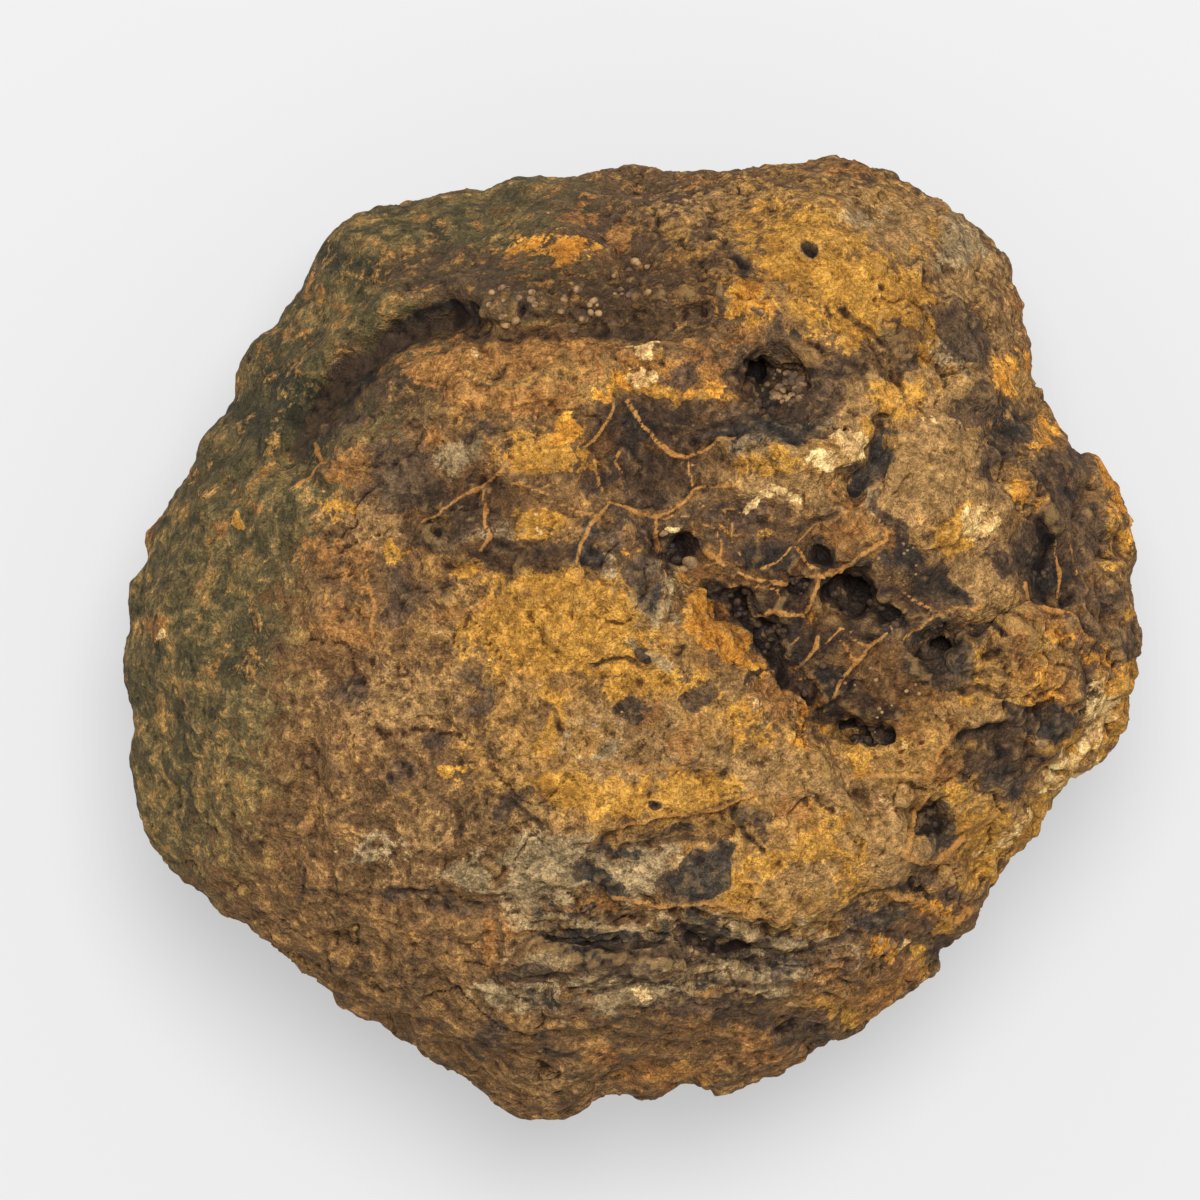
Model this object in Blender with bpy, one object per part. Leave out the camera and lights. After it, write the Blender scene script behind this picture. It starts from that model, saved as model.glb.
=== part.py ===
"""A whole, uncut geode: a rusty brown stone with a veined, pitted face, lying on its back on a small flat spot.

Sizes below are in millimetres and become metres at the end. +Z is up, out of the face. +X runs across
the face to the right and +Y towards its top edge, as the face is looked at. The origin is under the
middle of the stone, on the surface that it rests on.
"""

import bmesh
import bpy
import numpy as np
from mathutils import Vector, noise

METRES = 0.001

# Heights of the stone above the surface it rests on.
RIM_HEIGHT = 44.0
RIM_WAVE = 5.0
CROWN_HEIGHT = 94.0
FLAT_SPOT_SINK = 0.9

# How far above and below the widest line the outline's notches and lumps run.
NOTCH_SPREAD = 45.0
LUMP_SPREAD = 12.0

# The widest outline, seen from above, anticlockwise from the left end.
OUTLINE = (
    (-79, 6.5), (-79, 0), (-80, -3), (-79.5, -7), (-78, -13), (-77.5, -20), (-76.5, -26.5), (-74, -32),
    (-70, -36.5), (-64.5, -40.5), (-58.5, -44.5), (-51.5, -52.5), (-44.5, -58), (-36.5, -62), (-28.5, -67.5),
    (-22, -72), (-17.5, -74.5), (-13.5, -76), (-9.5, -76), (-6.5, -74.5), (-4, -72), (0, -71.5), (4, -72.5),
    (10.5, -70.5), (16, -72), (18.5, -70.5), (26.5, -67.5), (29, -67), (31, -65), (35.5, -64), (38.5, -61.5),
    (42.5, -57), (48, -52.5), (50.5, -48), (54.5, -45), (56.5, -42), (57.5, -39), (60, -35.5), (64, -31),
    (65, -29.5), (64.5, -27), (67.5, -24), (70.5, -21), (74, -20), (77, -17.5), (79, -13), (79.5, -7.5),
    (79, -3.5), (80, 0), (79, 3.5), (78.5, 9), (80, 13.5), (78.5, 19), (76.5, 23), (75, 26.5), (73.5, 28),
    (71, 29), (67.5, 33.5), (66.5, 36.5), (64.5, 41.5), (64.5, 46), (63, 50), (64, 53), (61.5, 56), (61, 59.5),
    (57.5, 64), (53.5, 67.5), (48.5, 70.5), (44, 72.5), (40.5, 74.5), (36.5, 76), (32.5, 75.5), (28, 74.5),
    (17.5, 73.5), (10.5, 74.5), (4, 73.5), (-4, 73.5), (-12.5, 74), (-18, 73.5), (-21.5, 71), (-29.5, 70),
    (-34.5, 68.5), (-38, 69), (-43.5, 67), (-47.5, 62), (-51, 54.5), (-55, 49.5), (-59.5, 45.5), (-61, 42),
    (-61.5, 38), (-64.5, 35), (-68, 31), (-69, 26), (-72.5, 21), (-75.5, 15), (-76.5, 11.5), (-78.5, 9.5),
)

# Where the broad face turns into the flank, by bearing anticlockwise from +X:
# bearing, share of the way out, height at that turn, height the flank keeps until the rim rounds over.
SHOULDERS = (
    (0, 0.88, 79, 68),
    (45, 0.79, 80, 62),
    (90, 0.66, 81, 55),
    (135, 0.68, 79, 52),
    (180, 0.66, 80, 52),
    (225, 0.80, 77, 56),
    (270, 0.74, 79, 54),
    (315, 0.82, 78, 60),
)

# Hollows: place across, place up, half width, half height, turn in degrees, depth.
HOLLOWS = (
    (23.5, 39.4, 7.0, 6.5, 0, 7.0),
    (20.0, 41.3, 2.6, 2.6, 0, 5.0),
    (8.0, 28.5, 15.0, 10.0, -10, 2.6),
    (3.7, 40.0, 6.0, 3.6, -15, 1.8),
    (34.9, 7.1, 5.2, 4.8, 0, 9.0),
    (40.2, 4.2, 3.6, 2.6, -20, 3.0),
    (8.0, 12.4, 4.4, 4.0, 0, 3.4),
    (17.7, 5.5, 3.0, 2.4, -45, 2.6),
    (21.9, 1.2, 3.8, 4.2, 0, 3.2),
    (25.7, 7.8, 2.8, 2.4, 0, 2.6),
    (30.3, 13.4, 2.4, 2.6, 0, 2.2),
    (35.2, -13.6, 3.4, 2.6, -30, 5.0),
    (40.6, -14.2, 2.6, 2.0, -30, 3.6),
    (47.8, -1.4, 3.6, 4.4, 30, 6.0),
    (66.3, 22.7, 3.0, 2.8, 0, 3.0),
    (71.2, 15.0, 4.2, 9.0, 10, 3.0),
    (46.6, -27.9, 4.8, 4.4, 0, 4.0),
    (46.0, -37.0, 5.6, 4.4, 25, 3.2),
    (49.3, 44.3, 5.4, 6.6, 0, 1.8),
    (56.6, 30.0, 5.0, 9.0, 35, 2.4),
    (25.8, -59.6, 4.0, 4.0, 0, 3.0),
    (-26.0, 21.0, 9.0, 5.0, 10, 1.2),
    (-28.4, 18.0, 3.0, 2.2, 0, 1.6),
)

# Swellings, in the same form with a height in place of the depth.
SWELLINGS = (
    (25.0, 37.6, 4.0, 3.8, 0, 5.0),
    (24.5, 27.0, 13.0, 6.0, 12, 3.6),
    (48.0, 24.0, 11.0, 16.0, -25, 4.6),
    (33.0, 20.0, 5.0, 3.6, -10, 1.6),
    (53.1, -3.6, 6.6, 5.4, 10, 3.0),
    (61.5, -1.6, 6.0, 6.0, 0, 3.2),
    (57.4, -10.0, 6.0, 4.4, 0, 2.0),
    (21.6, -26.8, 5.6, 4.8, 0, 1.8),
    (-4.0, 5.0, 17.0, 10.0, -8, 2.0),
    (10.0, -13.0, 12.0, 9.0, 0, 1.8),
    (-12.0, -31.0, 12.0, 6.0, 8, 1.4),
    (-38.0, -18.0, 12.0, 14.0, 0, 1.4),
    (-8.0, 60.0, 9.0, 6.0, 5, 2.6),
    (12.0, 63.0, 8.0, 6.0, 0, 2.4),
    (36.0, 60.0, 8.0, 6.0, -20, 2.4),
    (-40.0, 60.0, 6.0, 5.0, 30, 2.2),
    (-62.0, 22.0, 5.0, 9.0, -30, 2.2),
    (-68.0, 2.0, 6.0, 9.0, 0, 2.0),
)

# Furrows: half width, depth, and the places they run through.
FURROWS = (
    (6.5, 8.0, ((-50.1, 28.6), (-48.3, 33.3), (-45.8, 37.9), (-42.4, 42.1), (-37, 45.6), (-30.9, 47.8), (-26, 48.8))),
    (4.4, 2.4, ((-24, 47.2), (-4, 46.8), (14.6, 48))),
    (3.6, 3.4, ((38.7, 32.1), (37.4, 26.8), (34.1, 22.3))),
    (3.4, 2.0, ((33, 51), (40.2, 44.3), (41.7, 39.7))),
    (3.2, 3.6, ((49.6, 0.4), (56.9, 2.9), (60.4, 5.2))),
    (3.2, 3.0, ((56.9, -9.2), (60.6, -10), (64.9, -8.9))),
    (4.8, 5.0, ((61.8, 18.5), (63.7, 12.4), (63.9, 6))),
    (3.0, 3.0, ((68, 12.4), (68, 4))),
    (5.6, 4.0, ((48, -43.6), (40.2, -40.4), (34.1, -44.2), (25, -47.7), (11.3, -48.2))),
    (3.2, 2.8, ((-13, -44.4), (-3.9, -46.6), (8.3, -45.4), (17.4, -46.2))),
    (3.0, 1.8, ((-22.1, -22.6), (-17.3, -24.6), (-13.8, -27.9), (-19.1, -31.7), (-25.9, -33.5))),
    (3.2, 2.0, ((-14, -53), (0, -53.6), (14, -51.6), (30, -50.4))),
)

# Ridges, in the same form with a height in place of the depth.
RIDGES = (
    (3.4, 1.6, ((-50.6, 24.1), (-47.2, 26.8), (-40.4, 28.8), (-33.5, 33.4), (-25.2, 36.7), (-11.5, 39.4))),
    (4.4, 1.8, ((-22.3, 51.6), (-3.9, 52.6), (14.5, 52.4))),
    (1.8, 1.6, ((59.8, 12.8), (59.8, 6.6), (62.4, 3.6))),
    (3.4, 2.4, ((74.5, 20.5), (76, 13.5), (75.5, 7))),
    (2.2, 1.6, ((42.2, -24.2), (41.4, -31.8), (47.6, -32.6), (51.4, -29.4))),
    (2.4, 2.0, ((41.7, -38.4), (47, -42), (53.6, -42.4))),
    (3.0, 2.0, ((55.5, 36.8), (61, 42.5))),
    (2.6, 1.4, ((-12, -49), (4, -50), (18, -49.4))),
)

# Ledges: half width of the riser, drop, reach of the low side, and places with the high side on the left.
LEDGES = (
    (2.6, 7.0, 13.0, ((28.8, -15.5), (25, -10.4), (18.1, -3.8), (13.6, 1), (9.2, 7.4))),
    (1.8, 2.8, 9.0, ((-19.1, -38.4), (-3.9, -38.2), (8.3, -38.8), (14.3, -38.4), (21.2, -40.1), (26.4, -42.4))),
    (1.8, 2.0, 8.0, ((-0.9, -29.9), (3.7, -26.6), (11.3, -26.1), (17.4, -22.6), (25, -23.3))),
    (1.6, 1.8, 9.0, ((-40, -46), (-31, -47), (-22, -46), (-19.5, -38))),
    (1.6, 1.6, 8.0, ((-48, 6), (-44, -6), (-46, -20), (-44, -32))),
)


def smooth_step(low, high, value):
    share = np.clip((value - low) / (high - low), 0.0, 1.0)
    return share * share * (3.0 - 2.0 * share)


def around(bearings, values, bearing):
    """Values given at bearings in degrees, joined smoothly right round the stone."""
    step = bearings[1] - bearings[0]
    lower = np.floor(bearing / step).astype(int) % len(values)
    share = (bearing % step) / step
    blend = share * share * (3.0 - 2.0 * share)
    return values[lower] * (1.0 - blend) + values[(lower + 1) % len(values)] * blend


def outline_reach(bearing):
    """How far the outline lies from the middle at each bearing, and the same with its lumps smoothed away."""
    places = np.array(OUTLINE, float)
    at = np.degrees(np.arctan2(places[:, 1], places[:, 0])) % 360.0
    out = np.hypot(places[:, 0], places[:, 1])
    order = np.argsort(at)
    fine = np.interp(np.arange(720) / 2.0, at[order], out[order], period=360.0)
    window = np.hanning(81)
    smoothed = np.convolve(np.tile(fine, 3), window / window.sum(), "same")[720:1440]
    angles = np.arange(720) / 2.0
    return np.interp(bearing, angles, fine, period=360.0), np.interp(bearing, angles, smoothed, period=360.0)


def oval(place, x, y):
    """0 at the middle of an oval place and 1 on its edge."""
    across, up, half_width, half_height, turn = place[:5]
    cosine, sine = np.cos(np.radians(turn)), np.sin(np.radians(turn))
    along = (x - across) * cosine + (y - up) * sine
    aside = (y - up) * cosine - (x - across) * sine
    return np.hypot(along / half_width, aside / half_height)


def beside(line, x, y):
    """The distance to a line of places, and whether a point is on its left (1) or its right (-1)."""
    nearest = np.full(x.shape, 1e9)
    side = np.ones(x.shape)
    for (ax, ay), (bx, by) in zip(line, line[1:]):
        dx, dy = bx - ax, by - ay
        share = np.clip(((x - ax) * dx + (y - ay) * dy) / (dx * dx + dy * dy), 0.0, 1.0)
        away = np.hypot(x - ax - share * dx, y - ay - share * dy)
        left = np.sign(dx * (y - ay) - dy * (x - ax))
        closer = away < nearest
        nearest = np.where(closer, away, nearest)
        side = np.where(closer, left, side)
    return nearest, side


def rim_wave(bearing):
    """The widest line rises and falls a little on its way round, between -1 and 1."""
    turn = np.radians(bearing)
    return 0.5 * np.sin(2.0 * turn + 0.6) + 0.3 * np.sin(5.0 * turn + 2.0) + 0.2 * np.sin(9.0 * turn)


def broad_face(share, bearing):
    """Height of the domed face and of the flank beyond its shoulder, with no detail."""
    table = np.array(SHOULDERS, float)
    turn_share = around(table[:, 0], table[:, 1], bearing)
    turn_height = around(table[:, 0], table[:, 2], bearing)
    flank_height = around(table[:, 0], table[:, 3], bearing)
    inner = np.minimum(share / turn_share, 1.0)
    outer = np.clip((share - turn_share) / (1.0 - turn_share), 0.0, 1.0)
    dome = CROWN_HEIGHT - 3.0 - (CROWN_HEIGHT - 3.0 - turn_height) * inner**2.2
    return dome - (turn_height - flank_height) * outer * (0.55 + 0.45 * outer)


def relief(x, y):
    """What the hollows, swellings, furrows, ridges and ledges add to the height of the face."""
    rise = np.zeros(x.shape)
    for place in SWELLINGS:
        rise += place[5] * (1.0 - smooth_step(0.0, 1.15, oval(place, x, y)))
    for place in HOLLOWS:
        rise -= place[5] * (1.0 - smooth_step(0.35, 1.1, oval(place, x, y)))
    for half_width, height, line in RIDGES:
        rise += height * (1.0 - smooth_step(0.0, half_width, beside(line, x, y)[0]))
    for half_width, depth, line in FURROWS:
        rise -= depth * (1.0 - smooth_step(0.0, half_width, beside(line, x, y)[0]))
    for riser, drop, reach, line in LEDGES:
        away, side = beside(line, x, y)
        low_side = 1.0 - smooth_step(-riser, riser, away * side)
        rise -= drop * low_side * np.exp(-((away / reach) ** 2))
    return rise


def lumpiness(points, rim_height):
    """How far the rough crust stands out at each point: broad lumps, small knobs, and warts on the back."""
    out = np.empty(len(points))
    for index, (x, y, z) in enumerate(points):
        place = Vector((x, y, z))
        broad = noise.fractal(place / 26.0, 0.9, 2.1, 3, noise_basis="PERLIN_ORIGINAL")
        small = noise.fractal(place / 9.0 + Vector((40.0, 0.0, 0.0)), 0.8, 2.2, 3, noise_basis="PERLIN_ORIGINAL")
        wart = 1.0 - min(noise.voronoi(place / 13.0)[0][0] * 1.3, 1.0)
        back = min(max((rim_height[index] + 6.0 - z) / 16.0, 0.0), 1.0)
        flank = min(max((CROWN_HEIGHT - 18.0 - z) / 14.0, 0.0), 1.0)
        out[index] = broad * (1.2 + 1.7 * flank) + small * (0.8 + 0.5 * flank) + wart * wart * 3.4 * back
    return out


def stone_points(directions):
    """Moves points on a unit ball onto the stone."""
    bearing = np.degrees(np.arctan2(directions[:, 1], directions[:, 0])) % 360.0
    share = np.minimum(np.hypot(directions[:, 0], directions[:, 1]), 1.0)
    lumpy, smoothed = outline_reach(bearing)
    round_x = smoothed * share * np.cos(np.radians(bearing))
    round_y = smoothed * share * np.sin(np.radians(bearing))

    rim = RIM_HEIGHT + RIM_WAVE * rim_wave(bearing)
    face = broad_face(share, bearing) + relief(round_x, round_y)
    front = rim + (face - rim) * np.sqrt(1.0 - share**11)
    back = rim - (rim + FLAT_SPOT_SINK) * (1.0 - share**2.3) ** 0.58
    z = np.where(directions[:, 2] > 0.0, front, back)

    spread = np.where(lumpy < smoothed, NOTCH_SPREAD, LUMP_SPREAD)
    near_rim = np.exp(-(((z - rim) / spread) ** 2)) * share**6
    stretch = 1.0 + (lumpy / smoothed - 1.0) * near_rim
    points = np.stack((round_x * stretch, round_y * stretch, z), axis=1)

    out = points - np.array((0.0, 0.0, RIM_HEIGHT))
    out /= np.maximum(np.linalg.norm(out, axis=1, keepdims=True), 1e-6)
    rim_calm = 1.0 - 0.8 * np.exp(-(((z - rim) / 8.0) ** 2)) * share**6
    points += out * (lumpiness(points, rim) * rim_calm)[:, None]
    return points


def rest_on_flat(points):
    """Wears the lowest part of the back down to a small flat spot at height 0, and centres the stone over it."""
    points[:, 2] = np.maximum(points[:, 2], 0.0)
    points[:, :2] -= (points[:, :2].min(axis=0) + points[:, :2].max(axis=0)) / 2.0
    return points


def build_stone():
    ball = bmesh.new()
    bmesh.ops.create_icosphere(ball, subdivisions=7, radius=1.0)
    directions = np.array([vertex.co[:] for vertex in ball.verts])
    directions /= np.linalg.norm(directions, axis=1, keepdims=True)
    points = rest_on_flat(stone_points(directions)) * METRES
    for vertex, point in zip(ball.verts, points):
        vertex.co = point
    mesh = bpy.data.meshes.new("geode")
    ball.to_mesh(mesh)
    ball.free()
    mesh.shade_smooth()
    return bpy.data.objects.new("geode", mesh)


def crust_material():
    material = bpy.data.materials.new("iron_stained_crust")
    material.use_nodes = True
    surface = material.node_tree.nodes["Principled BSDF"]
    surface.inputs["Base Color"].default_value = (0.24, 0.13, 0.045, 1.0)
    surface.inputs["Roughness"].default_value = 0.75
    surface.inputs["Metallic"].default_value = 0.0
    return material


def thin_out(stone, share):
    """Keeps small faces only where the surface bends."""
    thin = stone.modifiers.new("thin_out", "DECIMATE")
    thin.ratio = share


def main():
    for old in list(bpy.data.objects):
        bpy.data.objects.remove(old)
    collection = bpy.data.collections.new("kentucky_geode")
    bpy.context.scene.collection.children.link(collection)
    stone = build_stone()
    stone.data.materials.append(crust_material())
    collection.objects.link(stone)
    thin_out(stone, 0.115)


main()
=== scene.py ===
"""A whole geode for its portrait: rusty crust with stains, veins, pits, ledges, nodules and grit.

Metres, +Z up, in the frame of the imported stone. Places on the face are read off the reference picture,
1200 px square, and named px below. Heights and depths are in millimetres.
"""

import math

import bmesh
import bpy
import numpy as np
from mathutils import Euler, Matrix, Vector

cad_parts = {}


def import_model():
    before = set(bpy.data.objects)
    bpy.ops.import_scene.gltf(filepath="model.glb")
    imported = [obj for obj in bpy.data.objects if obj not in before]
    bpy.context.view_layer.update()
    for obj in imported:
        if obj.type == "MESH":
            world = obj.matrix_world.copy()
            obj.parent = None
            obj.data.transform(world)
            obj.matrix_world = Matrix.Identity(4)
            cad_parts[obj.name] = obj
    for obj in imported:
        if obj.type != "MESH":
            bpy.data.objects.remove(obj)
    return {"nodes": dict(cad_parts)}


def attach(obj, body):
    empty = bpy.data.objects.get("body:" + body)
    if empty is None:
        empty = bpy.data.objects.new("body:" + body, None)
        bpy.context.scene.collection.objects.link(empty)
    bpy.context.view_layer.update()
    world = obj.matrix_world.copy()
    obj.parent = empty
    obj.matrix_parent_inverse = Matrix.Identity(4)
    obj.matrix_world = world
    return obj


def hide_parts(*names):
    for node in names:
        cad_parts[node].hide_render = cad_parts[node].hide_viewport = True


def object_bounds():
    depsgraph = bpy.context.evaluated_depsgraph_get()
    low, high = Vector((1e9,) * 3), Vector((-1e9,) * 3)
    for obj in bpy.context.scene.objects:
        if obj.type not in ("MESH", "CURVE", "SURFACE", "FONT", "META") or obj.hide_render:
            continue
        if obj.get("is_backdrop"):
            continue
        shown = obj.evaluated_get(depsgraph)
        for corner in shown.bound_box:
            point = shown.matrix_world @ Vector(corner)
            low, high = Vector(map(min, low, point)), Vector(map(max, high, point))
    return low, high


MM = 0.001

# Camera over the face, and the picture it makes
CAMERA_PLACE = (-0.0039, 0.0063, 1.044)
LENS_MM = 188.5
SENSOR_MM = 36.0
PICTURE_PX = 1200

# The crust's mesh: how wide its faces are, its pieces from the ground up, and the heights where they meet
CRUST_FACE = 0.55 * MM
SMOOTHING_ROUNDS = 14
PIECES = ("geode_back", "geode_side", "geode_face")
SEAMS = (28.0 * MM, 64.0 * MM)

# Heights between which the marks of the face fade in
FACE_BEGINS = (33.0 * MM, 41.0 * MM)

# Hollows of the finished crust, which its colour darkens as painted shade, and how many times it is evened
# out to find them
DIPS = (("dip", 5), ("deep_dip", 40))

# Chance values, and how far they make the marks stray
LATTICE = 64
TURNS = [np.array(Euler((0.7 * k, 1.1 * k, 0.4 * k)).to_matrix()) for k in range(1, 6)]
LINE_WANDER_PX = 2.2
STAIN_WANDER_PX = 7.0
NODULE_SEED = 71
CRUMB_SEED = 73

# How far from its middle a mark is still felt, where 1 is its edge
REACH = 1.5
LINE_REACH = 4.0

# Nodules and crumbs: their sizes against the given one, lumps, and how they are squashed
BALL_SIZES = (0.6, 1.4)
BALL_LUMPS = 0.35
BALL_LUMP_MM = 1.2
BALL_SQUASH = (1.0, 0.9, 0.8)
SEAT_PX = 3

# Studio
TABLE_REACH = 3.0
LAMP_PLACE = (0.05, 0.3, 1.25)
LAMP_ACROSS = 0.6
LAMP_WATTS = 18.5
ROOM_LIGHT = 0.8

# Sockets of a colour mix
MIX_SHARE, MIX_UNDER, MIX_OVER, MIX_RESULT = 0, 6, 7, 2

# Places in px: middle across, middle down, half width, half height, turn in degrees, then a strength or mm.
PITS = (
    (757, 369, 13, 13, 0, 2.4), (812, 257, 8, 7, -30, 2.0), (652, 804, 6, 5, 0, 1.2),
    (850, 724, 15, 9, -10, 1.6), (867, 738, 13, 12, 0, 2.0), (889, 733, 11, 7, -20, 1.4),
    (942, 650, 13, 18, -30, 2.4), (855, 594, 31, 28, 0, 2.4), (888, 617, 20, 12, 20, 1.2),
    (676, 556, 22, 20, 0, 1.3), (712, 589, 10, 9, 0, 1.2), (742, 604, 18, 11, 40, 1.5),
    (770, 632, 18, 20, 0, 1.6), (797, 586, 16, 9, -15, 1.4), (823, 552, 9, 13, 0, 1.2),
    (935, 836, 14, 9, 0, 0.7), (790, 1030, 12, 13, 0, 1.2), (815, 1031, 10, 9, 0, 1.0),
    (445, 528, 9, 5, 0, 0.9), (1040, 562, 13, 34, 0, 0.5), (1070, 600, 9, 20, 0, 1.0),
    (917, 885, 7, 4, 0, 0.8), (524, 312, 10, 9, 0, 0.9), (740, 268, 9, 6, 0, 0.8),
    (392, 778, 4, 4, 0, 0.6), (845, 432, 5, 3, 0, 0.6),
)

KNOBS = (
    (790, 391, 24, 20, 0, 1.2), (687, 566, 11, 10, 0, 1.0), (663, 533, 6, 5, 0, 0.6),
    (768, 818, 26, 22, 0, 0.7), (852, 594, 17, 16, 0, 1.5), (768, 634, 10, 10, 0, 0.8),
    (848, 455, 28, 16, 20, 0.6), (963, 530, 26, 24, 0, 0.7), (500, 312, 22, 16, 0, 0.9),
    (543, 303, 12, 12, 0, 0.8), (580, 310, 9, 12, 0, 0.8), (620, 272, 8, 9, 0, 0.8),
    (640, 285, 9, 6, 0, 0.6), (690, 300, 12, 6, 10, 0.6), (745, 305, 18, 20, 0, 0.8),
    (766, 318, 6, 14, 0, 0.8), (715, 322, 10, 9, 0, 0.6), (650, 343, 14, 6, -5, 0.5),
    (1020, 500, 12, 12, 0, 0.7), (1045, 500, 14, 20, 0, 0.7), (885, 945, 20, 12, -10, 0.6),
    (862, 757, 13, 17, 0, 0.9), (905, 745, 8, 6, 0, 0.7),
)

# Lines in px: half width, mm, places.
VEINS = (
    (1.5, 0.2, ((664, 520), (674, 514), (686, 517), (693, 528), (690, 540), (682, 544))),
    (1.5, 0.2, ((700, 524), (713, 530), (721, 544), (716, 560), (706, 566))),
    (1.5, 0.2, ((724, 512), (734, 524), (731, 540), (740, 552))),
    (1.5, 0.2, ((696, 545), (704, 553), (716, 556))),
    (1.5, 0.2, ((748, 590), (760, 584), (774, 590), (780, 604))),
    (1.5, 0.2, ((760, 570), (780, 560), (800, 540), (820, 520))),
    (1.5, 0.2, ((905, 640), (925, 620), (950, 610), (980, 604))),
    (1.8, 0.3, ((930, 700), (945, 722), (940, 750), (930, 780))),
    (1.6, 0.2, ((850, 640), (868, 648), (884, 642))), (1.6, 0.2, ((520, 400), (560, 398), (590, 406))),
    (1.6, 0.2, ((480, 440), (505, 452), (512, 470))),
    (2.2, 0.4, ((612, 404), (603, 425), (592, 440), (584, 448))),
    (2.2, 0.5, ((626, 402), (640, 425), (652, 440), (668, 452), (690, 458), (705, 455), (718, 447),
        (736, 440))),
    (2.2, 0.5, ((688, 460), (690, 474), (692, 486))),
    (2.2, 0.4, ((693, 490), (710, 488), (725, 485), (738, 482))),
    (2.0, 0.4, ((693, 490), (681, 504), (668, 511), (655, 517), (638, 512), (622, 506), (608, 503))),
    (2.2, 0.4, ((552, 501), (568, 508), (584, 514), (600, 517), (610, 505))),
    (2.2, 0.4, ((608, 508), (598, 520), (588, 532), (579, 546), (578, 562), (581, 582))),
    (1.9, 0.4, ((484, 488), (487, 510), (483, 528), (488, 540), (479, 556))),
    (1.9, 0.4, ((418, 523), (440, 510), (458, 497), (480, 489), (500, 477), (511, 461))),
    (1.9, 0.3, ((511, 484), (530, 488), (548, 494))), (1.9, 0.4, ((594, 465), (596, 480), (601, 492))),
    (1.9, 0.3, ((617, 455), (613, 466), (620, 474))),
    (1.6, 0.3, ((656, 520), (656, 545), (662, 570), (664, 590), (660, 602))),
    (1.8, 0.3, ((294, 484), (306, 477), (317, 462), (317, 444))),
    (1.6, 0.2, ((463, 399), (490, 396), (520, 391), (540, 384), (552, 381))),
    (2.4, 0.6, ((820, 577), (836, 568), (852, 561), (872, 548), (886, 538))),
    (2.0, 0.5, ((820, 578), (812, 598), (804, 612))),
    (2.2, 0.5, ((737, 572), (757, 580), (778, 583), (800, 579), (820, 577))),
    (2.2, 0.4, ((798, 546), (806, 556), (815, 570))),
    (2.2, 0.5, ((734, 584), (745, 600), (758, 613), (770, 607), (786, 612), (802, 616))),
    (2.2, 0.6, ((795, 667), (810, 656), (818, 644), (819, 633))),
    (2.2, 0.5, ((902, 612), (892, 630), (872, 647), (856, 664), (842, 682), (832, 700))),
    (1.9, 0.4, ((884, 540), (886, 528), (880, 516))),
    (1.9, 0.4, ((690, 536), (700, 547), (714, 555), (722, 563))),
    (1.2, 0.2, ((1020, 580), (1019, 598), (1026, 607), (1036, 614))),
    (1.3, 0.2, ((1057, 540), (1058, 562), (1057, 602))),
    (1.2, 0.2, ((1068, 540), (1073, 556), (1072, 575))),
    (2.2, 0.4, ((556, 771), (576, 765), (600, 760), (626, 766), (652, 764), (682, 768))),
    (1.6, 0.3, ((541, 756), (549, 742), (557, 734))),
    (2.0, 0.6, ((612, 893), (640, 897), (660, 899), (690, 896), (720, 896), (745, 902), (765, 910),
        (790, 912))),
    (2.2, 0.6, ((620, 840), (625, 826), (645, 818), (660, 812), (690, 815), (715, 808), (735, 795),
        (756, 788))),
    (2.4, 0.5, ((850, 772), (880, 778), (905, 775), (930, 780))),
    (3.0, 0.8, ((928, 792), (915, 810), (905, 830), (903, 852), (920, 858), (940, 854), (952, 848),
        (964, 838))),
    (3.2, 0.9, ((886, 890), (918, 898), (935, 914), (955, 920), (971, 911))),
    (1.9, 0.3, ((366, 570), (369, 590), (376, 612), (374, 640), (386, 652), (402, 668))),
    (1.9, 0.3, ((478, 640), (500, 660), (525, 674), (546, 686))),
    (1.9, 0.4, ((1000, 640), (1012, 656), (1018, 676), (1030, 690))),
    (2.2, 0.4, ((1040, 612), (1062, 618), (1078, 628), (1084, 640))),
    (1.4, 0.3, ((700, 600), (712, 590), (730, 586), (742, 592))),
    (1.4, 0.3, ((756, 640), (770, 650), (788, 648), (800, 636))),
    (1.4, 0.3, ((776, 690), (790, 680), (812, 678))), (1.4, 0.3, ((838, 640), (850, 652), (860, 664))),
    (1.4, 0.3, ((900, 590), (915, 600), (930, 612))),
    (1.4, 0.3, ((700, 505), (716, 512), (730, 508), (748, 515))),
    (1.4, 0.3, ((826, 640), (838, 630), (850, 634))),
)

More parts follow.
